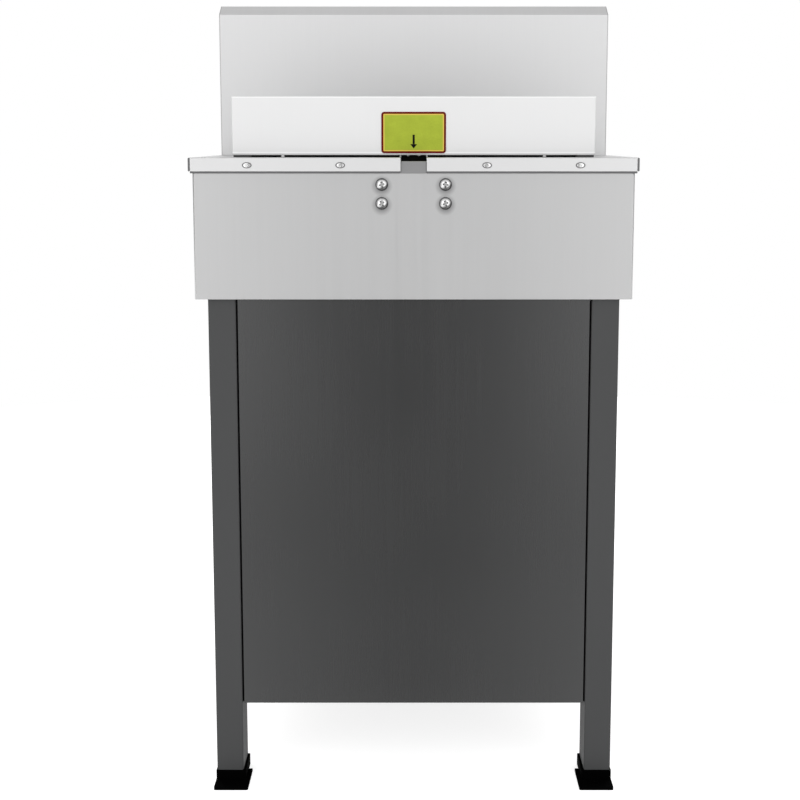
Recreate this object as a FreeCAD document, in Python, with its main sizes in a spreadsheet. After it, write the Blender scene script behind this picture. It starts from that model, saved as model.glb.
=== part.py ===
"""Electric paper cutter on a cabinet stand, in millimetres.

The rear of the machine faces -Y and the operator stands on the +Y side.
Left and right are as seen from the rear, so right is +X. Z is up from the floor.
"""

import FreeCAD, Part
import math
import os

import Sketcher

SIZES = {
    # table
    "table_width": 600.0,
    "table_depth": 730.0,
    "table_height": 875.0,
    "table_plate": 5.0,
    "table_corner": 4.0,
    "table_edge": 1.0,
    "lip_height": 18.0,
    "lip_sheet": 3.0,
    "slot_width": 35.0,
    "knife_from_front": 265.0,
    "bed_behind_knife": 75.0,
    "bed_before_knife": 55.0,
    "bed_rib_height": 12.0,
    "bed_rib_inset": 10.0,
    "bed_end_slot": 7.0,
    "stick_width": 10.0,
    "stick_height": 10.0,
    "stick_clearance": 0.1,
    "stick_sunk": 0.2,
    # housing under the table
    "body_inset": 5.0,
    "body_sheet": 2.0,
    "body_return": 14.0,
    "body_corner": 3.0,
    "body_floor_plate": 3.0,
    "vent_length": 70.0,
    "vent_height": 4.0,
    "vent_pitch": 11.0,
    "vent_count": 8,
    "vent_from_front": 120.0,
    "vent_drop": 60.0,
    # cabinet stand
    "stand_side_inset": 21.5,
    "stand_end_inset": 13.0,
    "post_width": 37.5,
    "post_depth": 60.0,
    "post_wall": 2.5,
    "post_corner": 2.0,
    "stand_sheet": 1.5,
    "stand_gap": 2.5,
    "stand_top_gap": 1.0,
    "panel_recess": 0.5,
    "panel_return": 12.0,
    "shelf_height": 115.0,
    "shelf_plate": 2.0,
    "shelf_rim": 18.0,
    "shelf_rim_gap": 15.5,
    "door_gap": 3.0,
    "door_floor_gap": 1.5,
    "door_depth": 14.0,
    "door_pin_inset": 7.0,
    "door_pin_depth": 6.5,
    "handle_length": 120.0,
    "handle_reach": 24.0,
    "handle_bar": 10.0,
    "handle_width": 12.0,
    "handle_from_edge": 30.0,
    "handle_height": 410.0,
    # feet
    "foot_plate": 4.0,
    "foot_height": 16.0,
    "foot_wall": 1.2,
    "flange_reach": 35.0,
    "flange_length": 61.0,
    "flange_inset": 9.0,
    "flange_corner": 3.0,
    "anchor_radius": 4.5,
    "anchor_from_edge": 17.0,
    # back gauge
    "gauge_side_gap": 5.0,
    "gauge_height": 81.0,
    "gauge_lift": 5.5,
    "gauge_setback": 40.0,
    "gauge_depth": 60.0,
    "gauge_plate": 12.0,
    "gauge_plate_lift": 3.0,
    "gauge_sheet": 1.5,
    "gauge_edge": 1.4,
    "gauge_cover_hang": 2.5,
    "gauge_hem_edge": 1.0,
    "gauge_return": 9.0,
    "gauge_foot_width": 120.0,
    "gauge_foot_height": 6.0,
    "glide_width": 24.0,
    "glide_clearance": 0.3,
    "glide_spigot": 9.0,
    "marker_width": 87.0,
    "marker_height": 55.0,
    "marker_sheet": 1.0,
    "marker_corner": 4.0,
    "gauge_screw_from_side": 68.0,
    "gauge_screw_radius": 3.0,
    "gauge_screw_setback": 6.0,
    "carriage_bolt_reach": 7.3,
    "carriage_bolt_radius": 2.2,
    "carriage_bolt_drop": 3.0,
    "neck_clearance": 0.5,
    "neck_length": 36.0,
    "nut_width": 84.0,
    "nut_height": 44.0,
    "nut_length": 44.0,
    # lead screw and its guides
    "spindle_drop": 48.0,
    "spindle_radius": 10.0,
    "spindle_nose_radius": 8.0,
    "spindle_nose_hole": 8.6,
    "running_clearance": 0.05,
    "rod_radius": 6.0,
    "rod_spacing": 54.0,
    "block_width": 105.0,
    "block_height": 46.0,
    "block_depth": 30.0,
    "wheel_radius": 45.0,
    "wheel_rim_radius": 7.0,
    "wheel_rim_corner": 2.8,
    "wheel_hub_radius": 14.0,
    "wheel_web": 6.0,
    "wheel_stand_off": 2.0,
    "wheel_hub_length": 24.0,
    "wheel_knob_radius": 6.0,
    "wheel_knob_length": 10.0,
    # screws in the rear panel and the table lip
    "body_screw_span": 85.0,
    "body_screw_rise": 25.0,
    "body_screw_head_radius": 8.0,
    "body_screw_head": 4.6,
    "body_screw_dome": 2.6,
    "body_screw_radius": 4.0,
    "body_screw_length": 24.0,
    "screw_hole_clearance": 0.2,
    "recess_length": 8.0,
    "recess_width": 1.6,
    "recess_depth": 1.8,
    "lip_screw_inner": 97.5,
    "lip_screw_from_side": 78.5,
    "lip_screw_drop": 10.0,
    "lip_screw_head_radius": 5.0,
    "lip_screw_head": 0.8,
    "lip_screw_radius": 2.5,
    # head
    "head_inset": 5.0,
    "head_behind_knife": 122.0,
    "head_before_knife": 68.0,
    "head_height": 225.0,
    "bevel_depth": 29.0,
    "bevel_height": 14.5,
    "head_sheet": 2.0,
    "throat_inset": 45.0,
    "throat_height": 88.0,
    "lining_behind_knife": 4.0,
    "lining_roof_depth": 67.0,
    "lining_front_depth": 34.0,
    "frame_side_gap": 3.0,
    "frame_plate": 14.0,
    "frame_heel_gap": 1.0,
    "frame_headroom": 20.0,
    "frame_foot": 28.0,
    "frame_foot_height": 15.0,
    "frame_foot_setback": 9.0,
    "beam_clamp_gap": 5.0,
    "beam_depth": 54.5,
    "blade_gap": 0.5,
    "beam_rib": 16.0,
    "keeper_width": 60.0,
    "keeper_from_throat": 50.0,
    "keeper_plate": 9.5,
    "keeper_drop": 110.0,
    "keeper_arm": 82.0,
    "keeper_gap": 0.5,
    # clamp
    "clamp_side_gap": 10.0,
    "clamp_depth": 42.0,
    "clamp_height": 40.0,
    "clamp_lift": 83.0,
    "clamp_knife_gap": 3.0,
    "clamp_sole": 14.0,
    "clamp_web": 24.0,
    "clamp_rod_radius": 10.0,
    "clamp_rod_from_throat": 100.0,
    "clamp_rod_rise": 14.0,
    "nut_wheel_radius": 42.0,
    "nut_wheel_thickness": 12.0,
    "nut_wheel_gap": 0.3,
    "nut_wheel_teeth": 24,
    "nut_wheel_notch": 3.0,
    # knife and its drive
    "knife_drop": 87.0,
    "knife_swing": 22.0,
    "blade_overlap": 12.0,
    "blade_below_bar": 23.0,
    "blade_thickness": 10.0,
    "blade_bevel": 22.5,
    "blade_land": 0.6,
    "bar_thickness": 22.0,
    "bar_headroom": 5.0,
    "bar_lift": 23.0,
    "bar_left_reach": 18.0,
    "bolt_count": 5,
    "bolt_end_gap": 82.0,
    "bolt_radius": 5.0,
    "bolt_head_radius": 7.0,
    "bolt_head": 8.0,
    "bolt_length": 29.0,
    "bolt_lift": 15.0,
    "pull_rod_width": 16.0,
    "pull_rod_thickness": 12.0,
    "pull_rod_top": 50.0,
    "pull_rod_bend": 7.0,
    "pull_rod_eye": 14.0,
    "pull_rod_eye_drop": 79.5,
    "pull_rod_eye_inset": 41.0,
    "window_side": 4.0,
    "window_end": 3.0,
    "window_corner": 2.0,
    "crank_radius": 57.0,
    "crank_floor_gap": 9.0,
    "crank_thickness": 12.0,
    "crank_gap": 6.0,
    "crank_pin_radius": 8.0,
    "crank_pin_length": 5.0,
    "crank_hub_radius": 20.0,
    "crank_hub_length": 8.0,
    "crank_shaft_radius": 12.5,
    "crank_shaft_length": 30.0,
    "gearbox_width": 108.0,
    "gearbox_depth": 80.0,
    "gearbox_gap": 1.0,
    "gearbox_edge": 6.0,
    "motor_radius": 52.0,
    "motor_length": 190.0,
    "motor_foot_length": 90.0,
    "motor_foot_depth": 70.0,
    "motor_box": 46.0,
    # front guard
    "guard_sheet": 4.0,
    "guard_hinge_reach": 12.0,
    "guard_hinge_rise": 16.0,
    "guard_hinge_back": 5.0,
    "guard_hinge_top": 9.0,
    "guard_brow_reach": 120.0,
    "guard_brow_drop": 15.0,
    "guard_front_reach": 172.0,
    "guard_front_drop": 87.0,
    "guard_foot": 6.0,
    "guard_heel": 10.0,
    "lug_plate": 7.0,
    "lug_gap": 0.5,
    "lug_back": 22.0,
    "lug_half_height": 10.0,
    "pin_radius": 3.0,
    "pin_length": 16.0,
    # controls
    "button_from_side": 80.0,
    "button_drop": 75.0,
    "button_stem_radius": 8.0,
    "button_stem_length": 16.0,
    "button_cap_radius": 16.0,
    "button_cap_height": 9.0,
    "button_travel": 4.0,
    "button_edge": 3.0,
    "button_stop_gap": 0.5,
    "stop_from_side": 80.0,
    "stop_drop": 55.0,
    "stop_cap_radius": 20.0,
    "stop_cap_height": 14.0,
    "stop_travel": 5.0,
    "switch_from_side": 180.0,
    "switch_stem_radius": 6.0,
    "switch_knob_radius": 17.0,
    "switch_knob_height": 5.0,
    "switch_grip_width": 9.0,
    "switch_grip_height": 11.0,
    "switch_grip_inset": 1.0,
    "switch_gap": 0.3,
    "inlet_width": 28.0,
    "inlet_height": 48.0,
    "inlet_depth": 25.0,
    "inlet_flange": 4.0,
    "inlet_flange_sheet": 2.5,
    "inlet_rear": 110.0,
    "inlet_lift": 60.0,
    "inlet_wall": 3.0,
    "inlet_pin_radius": 2.0,
    "inlet_pin_pitch": 14.0,
    # how far a cutting shape runs past the face it opens
    "past": 1.0,
}


class Value:
    """A length: its number now, and the expression that binds it to the sheets."""

    def __init__(self, number, text):
        self.number = float(number)
        self.text = text

    def __add__(self, other):
        other = value_of(other)
        return Value(self.number + other.number, f"({self.text} + {other.text})")

    def __radd__(self, other):
        return value_of(other) + self

    def __sub__(self, other):
        other = value_of(other)
        return Value(self.number - other.number, f"({self.text} - {other.text})")

    def __rsub__(self, other):
        return value_of(other) - self

    def __mul__(self, other):
        other = value_of(other)
        return Value(self.number * other.number, f"({self.text} * {other.text})")

    def __rmul__(self, other):
        return value_of(other) * self

    def __truediv__(self, other):
        other = value_of(other)
        return Value(self.number / other.number, f"({self.text} / {other.text})")

    def __neg__(self):
        return self * -1


def value_of(thing):
    """A plain number as a Value, or the Value itself."""
    if isinstance(thing, Value):
        return thing
    return Value(thing, f"({thing})")


def root(value):
    """The square root of a value."""
    return Value(math.sqrt(value.number), f"sqrt({value.text})")


class Sheet:
    """A spreadsheet whose cells are read by name as Values."""

    def __init__(self, name):
        self.name = name
        self.cells = document.addObject("Spreadsheet::Sheet", name)
        self.values = {}

    def put(self, alias, content):
        """Write a plain number, or a formula on other cells, under a name."""
        row = len(self.values) + 1
        value = value_of(content)
        text = "=" + value.text if isinstance(content, Value) else str(content)
        self.cells.set(f"A{row}", alias)
        self.cells.set(f"B{row}", text)
        self.cells.setAlias(f"B{row}", alias)
        self.values[alias] = Value(value.number, f"{self.name}.{alias}")

    def __getattr__(self, alias):
        return self.values[alias]


def bind(thing, path, value):
    """Tie one property of an object to the sheets."""
    thing.setExpression(path, value_of(value).text)


# Outlines for sketches: each returns a function that draws a closed shape.

def outline(*corners):
    """A closed outline of straight sides through the corners."""
    corners = [(value_of(a), value_of(b)) for a, b in corners]

    def draw(sketch):
        first = sketch.GeometryCount
        count = len(corners)
        for index in range(count):
            start = corners[index]
            end = corners[(index + 1) % count]
            sketch.addGeometry(Part.LineSegment(
                FreeCAD.Vector(start[0].number, start[1].number, 0),
                FreeCAD.Vector(end[0].number, end[1].number, 0)))
        for index in range(count):
            after = (index + 1) % count
            sketch.addConstraint(Sketcher.Constraint("Coincident", first + index, 2, first + after, 1))
        for index, (across, along) in enumerate(corners):
            fix_point(sketch, first + index, 1, across, along)
    return draw


def box_outline(low_a, high_a, low_b, high_b):
    """A rectangle between two values across and two values along."""
    return outline((low_a, low_b), (high_a, low_b), (high_a, high_b), (low_a, high_b))


def circle(across, along, radius):
    """A circle about a point."""
    across, along, radius = value_of(across), value_of(along), value_of(radius)

    def draw(sketch):
        index = sketch.addGeometry(Part.Circle(
            FreeCAD.Vector(across.number, along.number, 0), FreeCAD.Vector(0, 0, 1), radius.number))
        constraint = sketch.addConstraint(Sketcher.Constraint("Radius", index, radius.number))
        bind(sketch, f"Constraints[{constraint}]", radius)
        fix_point(sketch, index, 3, across, along)
    return draw


def fix_point(sketch, index, point, across, along):
    """Dimension one point of a sketch from its origin."""
    for kind, value in (("DistanceX", across), ("DistanceY", along)):
        constraint = sketch.addConstraint(Sketcher.Constraint(kind, -1, 1, index, point, value.number))
        bind(sketch, f"Constraints[{constraint}]", value)


def along(axis, **place):
    """A test for straight edges that run along an axis at the given place."""
    def chosen(edge):
        if edge.Curve.TypeId != "Part::GeomLine":
            return False
        start, end = edge.Vertexes[0].Point, edge.Vertexes[-1].Point
        still = [name for name in "xyz" if name != axis]
        if any(abs(getattr(start, name) - getattr(end, name)) > 0.001 for name in still):
            return False
        return all(abs(getattr(start, name) - value_of(at_value).number) < 0.01
                   for name, at_value in place.items())
    return chosen


# Each plane's name, and which way its sketches face along the third axis.
PLANES = {"XY": ("XY_Plane", 1), "XZ": ("XZ_Plane", -1), "YZ": ("YZ_Plane", 1)}
pieces = []


class Body:
    """One piece made of sketched features, padded and cut along the axes."""

    def __init__(self, label):
        self.body = document.addObject("PartDesign::Body", label)
        self.body.Label = label
        self.label = label
        self.count = 0
        pieces.append(self.body)

    def name(self, kind):
        self.count += 1
        return f"{self.label}_{kind}_{self.count}"

    def sketch(self, plane, level, shapes):
        role, facing = PLANES[plane]
        sketch = self.body.newObject("Sketcher::SketchObject", self.name("sketch"))
        plane_object = [part for part in self.body.Origin.OriginFeatures if part.Role == role][0]
        sketch.AttachmentSupport = [(plane_object, "")]
        sketch.MapMode = "FlatFace"
        bind(sketch, "AttachmentOffset.Base.z", value_of(level) * facing)
        for shape in shapes:
            shape(sketch)
        return sketch

    def pad(self, plane, start, end, *shapes):
        """Add material between two levels of the plane's third axis."""
        feature = self.body.newObject("PartDesign::Pad", self.name("pad"))
        feature.Profile = self.sketch(plane, start, shapes)
        feature.Reversed = PLANES[plane][1] < 0
        bind(feature, "Length", value_of(end) - start)
        self.body.Tip = feature
        return self

    def cut(self, plane, start, end, *shapes):
        """Take material away between two levels, and make sure that some went."""
        document.recompute()
        before = self.body.Tip.Shape.Volume
        feature = self.body.newObject("PartDesign::Pocket", self.name("pocket"))
        feature.Profile = self.sketch(plane, start, shapes)
        feature.Reversed = PLANES[plane][1] > 0
        bind(feature, "Length", value_of(end) - start)
        self.body.Tip = feature
        document.recompute()
        if not feature.Shape.Volume < before:
            raise ValueError(f"{feature.Name} removes nothing")
        return self

    def turn(self, *corners):
        """Add a turned solid about the line through the origin along Y; corners are (radius, y)."""
        sketch = self.sketch("XY", 0, [outline(*corners)])
        feature = self.body.newObject("PartDesign::Revolution", self.name("turned"))
        feature.Profile = sketch
        feature.ReferenceAxis = (sketch, ["V_Axis"])
        feature.Angle = 360
        self.body.Tip = feature
        return self

    def round(self, radius, *tests, kind="PartDesign::Fillet"):
        """Round, or bevel, the edges that the tests choose."""
        document.recompute()
        tip = self.body.Tip
        edges = [f"Edge{index}" for index, edge in enumerate(tip.Shape.Edges, 1)
                 if any(test(edge) for test in tests)]
        if not edges:
            raise ValueError(f"{self.label} has no edge to round")
        feature = self.body.newObject(kind, self.name("edge"))
        feature.Base = (tip, edges)
        bind(feature, "Radius" if kind.endswith("Fillet") else "Size", radius)
        self.body.Tip = feature
        return self

    def put(self, **place):
        """Set the piece's placement from values on the axes."""
        for axis, value in place.items():
            bind(self.body, f"Placement.Base.{axis}", value)
        return self


# Solids made from primitives, for shafts, screws and sets of like pieces.

def block(name, low_x, high_x, low_y, high_y, low_z, high_z):
    """A box between two values on each axis."""
    thing = document.addObject("Part::Box", name)
    for axis, size_name, low, high in (("x", "Length", low_x, high_x),
                                       ("y", "Width", low_y, high_y),
                                       ("z", "Height", low_z, high_z)):
        bind(thing, f"Placement.Base.{axis}", low)
        bind(thing, size_name, value_of(high) - low)
    return thing


TURNS = {
    "x": FreeCAD.Rotation(FreeCAD.Vector(0, 1, 0), 90),
    "y": FreeCAD.Rotation(FreeCAD.Vector(1, 0, 0), -90),
    "z": FreeCAD.Rotation(),
}


def rod(name, axis, x, y, z, radius, length):
    """A cylinder from a point along an axis."""
    thing = document.addObject("Part::Cylinder", name)
    thing.Placement = FreeCAD.Placement(FreeCAD.Vector(0, 0, 0), TURNS[axis])
    bind(thing, "Radius", radius)
    bind(thing, "Height", length)
    for name_of_axis, value in (("x", x), ("y", y), ("z", z)):
        bind(thing, f"Placement.Base.{name_of_axis}", value)
    return thing


def fused(name, *things):
    """Several solids joined into one."""
    thing = document.addObject("Part::MultiFuse", name)
    thing.Shapes = list(things)
    thing.Refine = True
    return thing


def less(name, base, *tools):
    """A solid with others taken out of it."""
    tool = tools[0] if len(tools) == 1 else fused(name + "_tools", *tools)
    thing = document.addObject("Part::Cut", name)
    thing.Base = base
    thing.Tool = tool
    return thing


def together(name, *things):
    """Several like solids that share one name."""
    thing = document.addObject("Part::Compound", name)
    thing.Links = list(things)
    return thing


def piece(label, thing):
    """Name a finished solid as one of the machine's pieces."""
    thing.Label = label
    pieces.append(thing)
    return thing


document = FreeCAD.newDocument("paper_cutter")
size = Sheet("sizes")
for alias, number in SIZES.items():
    size.put(alias, number)

# Places that several pieces share.
at = Sheet("places")
at.put("table_side", size.table_width / 2)
at.put("table_rear", size.table_depth / -2)
at.put("table_front", size.table_depth / 2)
at.put("table_under", size.table_height - size.table_plate)
at.put("lip_base", size.table_height - size.lip_height)
at.put("lip_inside", at.table_side - size.lip_sheet)
at.put("lip_screw_outer", at.table_side - size.lip_screw_from_side)
at.put("slot_side", size.slot_width / 2)
at.put("knife_line", at.table_front - size.knife_from_front)
at.put("bed_rear", at.knife_line - size.bed_behind_knife)
at.put("bed_front", at.knife_line + size.bed_before_knife)
at.put("bed_base", at.lip_base - size.bed_rib_height)
at.put("body_side", at.table_side - size.body_inset)
at.put("body_inside", at.body_side - size.body_sheet)
at.put("body_end", at.table_front - size.body_inset)
at.put("body_end_inside", at.body_end - size.body_sheet)
at.put("post_side", at.table_side - size.stand_side_inset)
at.put("post_inside", at.post_side - size.post_width)
at.put("post_end", at.table_front - size.stand_end_inset)
at.put("post_back", at.post_end - size.post_depth)
at.put("panel_face", at.post_end - size.panel_recess)
at.put("panel_back", at.panel_face - size.stand_sheet)
at.put("shelf_top", size.shelf_height + size.shelf_plate)
at.put("head_side", at.table_side - size.head_inset)
at.put("head_inside", at.head_side - size.head_sheet)
at.put("head_rear", at.knife_line - size.head_behind_knife)
at.put("head_rear_inside", at.head_rear + size.head_sheet)
at.put("head_front", at.knife_line + size.head_before_knife)
at.put("head_front_inside", at.head_front - size.head_sheet)
at.put("head_top", size.table_height + size.head_height)
at.put("head_roof", at.head_top - size.head_sheet)
at.put("fold_level", at.head_top - size.bevel_height)
at.put("throat_side", at.head_side - size.throat_inset)
at.put("throat_top", size.table_height + size.throat_height)
at.put("gauge_rear", at.table_rear + size.gauge_setback)
at.put("gauge_front", at.gauge_rear + size.gauge_depth)
at.put("gauge_plate_back", at.gauge_front - size.gauge_plate)
at.put("gauge_side", at.throat_side - size.gauge_side_gap)
at.put("gauge_base", size.table_height + size.gauge_lift)
at.put("gauge_hem", at.gauge_base - size.gauge_cover_hang)
at.put("gauge_top", size.table_height + size.gauge_height)
at.put("spindle_level", size.table_height - size.spindle_drop)
at.put("rod_reach", size.rod_spacing / 2)
at.put("block_face", at.body_end_inside - size.block_depth)
at.put("carriage_middle", (at.gauge_rear + at.gauge_front) / 2)
at.put("frame_outside", at.head_inside - size.frame_side_gap)
at.put("frame_inside", at.frame_outside - size.frame_plate)
at.put("frame_top", at.head_top - size.frame_headroom)
at.put("beam_front", at.knife_line - size.blade_gap)
at.put("clamp_front", at.knife_line - size.clamp_knife_gap)
at.put("clamp_middle", at.clamp_front - size.clamp_depth / 2)
at.put("clamp_base", size.table_height + size.clamp_lift)
at.put("clamp_top", at.clamp_base + size.clamp_height)
at.put("clamp_rod_reach", at.throat_side - size.clamp_rod_from_throat)
at.put("beam_base", at.clamp_top + size.beam_clamp_gap)
at.put("knife_middle", size.knife_swing / 2)
at.put("blade_half", at.throat_side + size.blade_overlap)
at.put("blade_base", size.table_height + size.knife_drop)
at.put("blade_front", at.knife_line + size.blade_thickness)
at.put("bar_front", at.blade_front + size.bar_thickness)
at.put("bar_base", at.blade_base + size.bar_lift)
at.put("bar_top", at.frame_top - size.bar_headroom)
at.put("blade_top", at.bar_top - size.blade_below_bar)
at.put("bar_left", at.knife_middle - at.blade_half - size.bar_left_reach)
at.put("pull_rod_right", at.bar_left + size.pull_rod_width)
at.put("pull_rod_front", at.bar_front + size.pull_rod_thickness)
at.put("eye_x", at.bar_left + size.pull_rod_width / 2 + size.pull_rod_eye_inset)
at.put("eye_z", size.table_height - size.pull_rod_eye_drop)
at.put("crank_x", at.eye_x - size.knife_swing / 2)
at.put("crank_z", at.eye_z - size.knife_drop / 2)
at.put("crank_face", at.pull_rod_front + size.crank_gap)
at.put("crank_back", at.crank_face + size.crank_thickness)
at.put("gearbox_face", at.crank_back + size.crank_hub_length + size.gearbox_gap)
at.put("body_base", at.crank_z - size.crank_radius - size.crank_floor_gap)
at.put("floor_top", at.body_base + size.body_floor_plate)
at.put("panel_top", at.body_base - size.stand_top_gap)
at.put("hinge_y", at.head_front + size.guard_hinge_reach)
at.put("hinge_z", at.throat_top + size.guard_hinge_rise)
at.put("door_side", at.post_inside - size.door_gap)
at.put("door_base", at.shelf_top + size.door_floor_gap)
at.put("door_pin_x", at.door_side - size.door_pin_inset)
at.put("door_pin_y", at.panel_face - size.door_pin_depth)
at.put("button_reach", at.body_side - size.button_from_side)
at.put("button_level", size.table_height - size.button_drop)
at.put("switch_reach", at.body_side - size.switch_from_side)
at.put("stop_reach", at.head_side - size.stop_from_side)
at.put("stop_level", at.head_top - size.stop_drop)
document.recompute()

SIDES = {"left": -1, "right": 1}
ENDS = {"rear": -1, "front": 1}


def stand_posts():
    """Four box-section posts, from the feet to the housing."""
    for end_name, end in ENDS.items():
        for side_name, side in SIDES.items():
            post = Body(f"stand_post_{end_name}_{side_name}")
            wall = size.post_wall
            post.pad(
                "XY", size.foot_plate, at.body_base,
                box_outline(at.post_inside * side, at.post_side * side,
                            at.post_back * end, at.post_end * end),
                box_outline((at.post_inside + wall) * side, (at.post_side - wall) * side,
                            (at.post_back + wall) * end, (at.post_end - wall) * end))
            post.round(size.post_corner,
                       along("z", x=at.post_inside * side, y=at.post_end * end),
                       along("z", x=at.post_side * side, y=at.post_end * end))


def feet():
    """Black boots under the posts, each with a floor flange and an anchor hole."""
    for end_name, end in ENDS.items():
        for side_name, side in SIDES.items():
            foot = Body(f"foot_{end_name}_{side_name}")
            inner = (at.post_inside - size.flange_inset) * side
            outer = (at.post_side + size.foot_wall) * side
            tip = (at.post_end + size.flange_reach) * end
            heel = (at.post_end + size.flange_reach - size.flange_length) * end
            foot.pad("XY", 0, size.foot_plate, box_outline(inner, outer, tip, heel))
            foot.pad("XY", 0, size.foot_height,
                     box_outline((at.post_inside - size.foot_wall) * side, outer,
                                 (at.post_back - size.foot_wall) * end,
                                 (at.post_end + size.foot_wall) * end))
            foot.cut("XY", size.foot_plate, size.foot_height,
                     box_outline(at.post_inside * side, at.post_side * side,
                                 at.post_back * end, at.post_end * end))
            foot.cut("XY", 0, size.foot_plate,
                     circle((inner + outer) / 2, tip - size.anchor_from_edge * end, size.anchor_radius))
            foot.round(size.flange_corner, along("z", x=inner, y=tip), along("z", x=outer, y=tip))


def stand_shelf():
    """The cabinet's bottom: a plate between the posts with a raised rim."""
    shelf = Body("stand_shelf")
    across = at.post_side - size.stand_sheet
    middle = at.post_inside
    deep = at.panel_back
    shelf.pad("XY", size.shelf_height, at.shelf_top,
              outline((-middle, -deep), (middle, -deep), (middle, -at.post_back), (across, -at.post_back),
                      (across, at.post_back), (middle, at.post_back), (middle, deep), (-middle, deep),
                      (-middle, at.post_back), (-across, at.post_back), (-across, -at.post_back),
                      (-middle, -at.post_back)))
    rim_x = middle - size.door_gap
    rim_y = deep - size.shelf_rim_gap
    shelf.pad("XY", at.shelf_top, at.shelf_top + size.shelf_rim,
              box_outline(-rim_x, rim_x, -rim_y, rim_y),
              box_outline(size.stand_sheet - rim_x, rim_x - size.stand_sheet,
                          size.stand_sheet - rim_y, rim_y - size.stand_sheet))


def stand_rear_panel():
    """The dark sheet between the rear posts, folded inwards at its two sides."""
    panel = Body("stand_rear_panel")
    half = at.post_inside - size.stand_gap
    panel.pad("XZ", -at.panel_face, -at.panel_back,
              box_outline(-half, half, size.shelf_height, at.panel_top))
    for side in SIDES.values():
        panel.pad("XY", at.shelf_top, at.panel_top,
                  box_outline(half * side, (half - size.stand_sheet) * side,
                              -at.panel_back, size.panel_return - at.panel_back))


def stand_side_panels():
    """Sheets that close the stand's two sides between the posts."""
    for side_name, side in SIDES.items():
        panel = Body(f"stand_{side_name}_panel")
        low, high = at.post_side - size.stand_sheet, at.post_side
        if side < 0:
            low, high = -high, -low
        panel.pad("YZ", low, high, box_outline(-at.post_back, at.post_back, size.shelf_height, at.panel_top))


def stand_door():
    """The front door: a sheet pan with a bow handle, turning on two upright pins."""
    door = Body("stand_door")
    sheet = size.stand_sheet
    back = at.panel_face - size.door_depth
    top = at.panel_top - size.stand_top_gap
    door.pad("XZ", back, at.panel_face, box_outline(-at.door_side, at.door_side, at.door_base, top))
    door.cut("XZ", back, at.panel_back,
             box_outline(sheet - at.door_side, at.door_side - sheet, at.door_base + sheet, top - sheet))
    door.cut("XY", at.door_base - size.past, top + size.past,
             circle(-at.door_pin_x, at.door_pin_y, size.pin_radius + size.running_clearance))
    handle = Body("door_handle")
    middle = at.door_side - size.handle_from_edge
    low = size.handle_height - size.handle_length / 2
    high = size.handle_height + size.handle_length / 2
    tip = at.panel_face + size.handle_reach
    bar = size.handle_bar
    handle.pad("YZ", middle - size.handle_width / 2, middle + size.handle_width / 2,
               outline((at.panel_face, low), (tip, low), (tip, high), (at.panel_face, high),
                       (at.panel_face, high - bar), (tip - bar, high - bar),
                       (tip - bar, low + bar), (at.panel_face, low + bar)))
    handle.round(bar / 2, along("x", y=tip, z=low), along("x", y=tip, z=high))


def hinge_pins():
    """Four like pins: two upright ones for the door, two level ones for the guard."""
    pins = []
    for name, level in (("low", at.shelf_top), ("high", at.body_base - size.pin_length)):
        pins.append(rod(f"door_pin_{name}", "z", -at.door_pin_x, at.door_pin_y, level,
                        size.pin_radius, size.pin_length))
    outer = at.throat_side + size.lug_gap + size.lug_plate
    pins.append(rod("guard_pin_left", "x", -outer, at.hinge_y, at.hinge_z, size.pin_radius, size.pin_length))
    pins.append(rod("guard_pin_right", "x", outer - size.pin_length, at.hinge_y, at.hinge_z,
                    size.pin_radius, size.pin_length))
    piece("hinge_pins", together("hinge_pin_set", *pins))


def end_panel(label, end):
    """A housing panel across the machine: its face, side returns and top flange."""
    panel = Body(label)
    side, inside = at.body_side, at.body_inside
    face, back = at.body_end * end, at.body_end_inside * end
    fold = (at.body_end - size.body_return) * end
    panel.pad("XY", at.body_base, at.table_under,
              outline((-side, fold), (-side, face), (side, face), (side, fold),
                      (inside, fold), (inside, back), (-inside, back), (-inside, fold)))
    panel.pad("XY", at.table_under - size.body_sheet, at.table_under,
              box_outline(-inside, inside, back, fold))
    panel.round(size.body_corner, along("z", x=side, y=face), along("z", x=-side, y=face))
    return panel


def body_panels():
    """The housing: rear, front and side panels, and the floor tray."""
    rear = end_panel("body_rear_panel", -1)
    holes = [circle(x, z, size.body_screw_radius + size.screw_hole_clearance)
             for x, z in body_screw_places()]
    rear.cut("XZ", -at.body_end - size.past, size.past - at.body_end_inside, *holes)

    front = end_panel("body_front_panel", 1)
    clearance = size.running_clearance
    front.cut("XZ", at.body_end_inside - size.past, at.body_end + size.past,
              circle(0, at.spindle_level, size.spindle_nose_hole),
              circle(-at.button_reach, at.button_level, size.button_stem_radius + clearance),
              circle(at.button_reach, at.button_level, size.button_stem_radius + clearance),
              circle(at.switch_reach, at.button_level, size.switch_stem_radius + clearance))

    for side_name, side in SIDES.items():
        panel = Body(f"body_{side_name}_panel")
        low, high = at.body_inside, at.body_side
        if side < 0:
            low, high = -high, -low
        fold = at.body_end - size.body_return
        panel.pad("YZ", low, high, box_outline(-fold, fold, at.body_base, at.table_under))
        if side > 0:
            panel.cut("YZ", low - size.past, high + size.past,
                      box_outline(*inlet_span(0), at.body_base + size.inlet_lift,
                                  at.body_base + size.inlet_lift + size.inlet_height))
        else:
            slots = []
            vents_end = at.body_end - size.vent_from_front
            for index in range(int(size.vent_count.number)):
                top = at.table_under - size.vent_drop - size.vent_pitch * index
                slots.append(box_outline(vents_end - size.vent_length, vents_end,
                                         top - size.vent_height, top))
            panel.cut("YZ", low - size.past, high + size.past, *slots)

    floor = Body("body_floor")
    floor.pad("XY", at.body_base, at.floor_top,
              box_outline(-at.body_inside, at.body_inside, -at.body_end_inside, at.body_end_inside))


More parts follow.
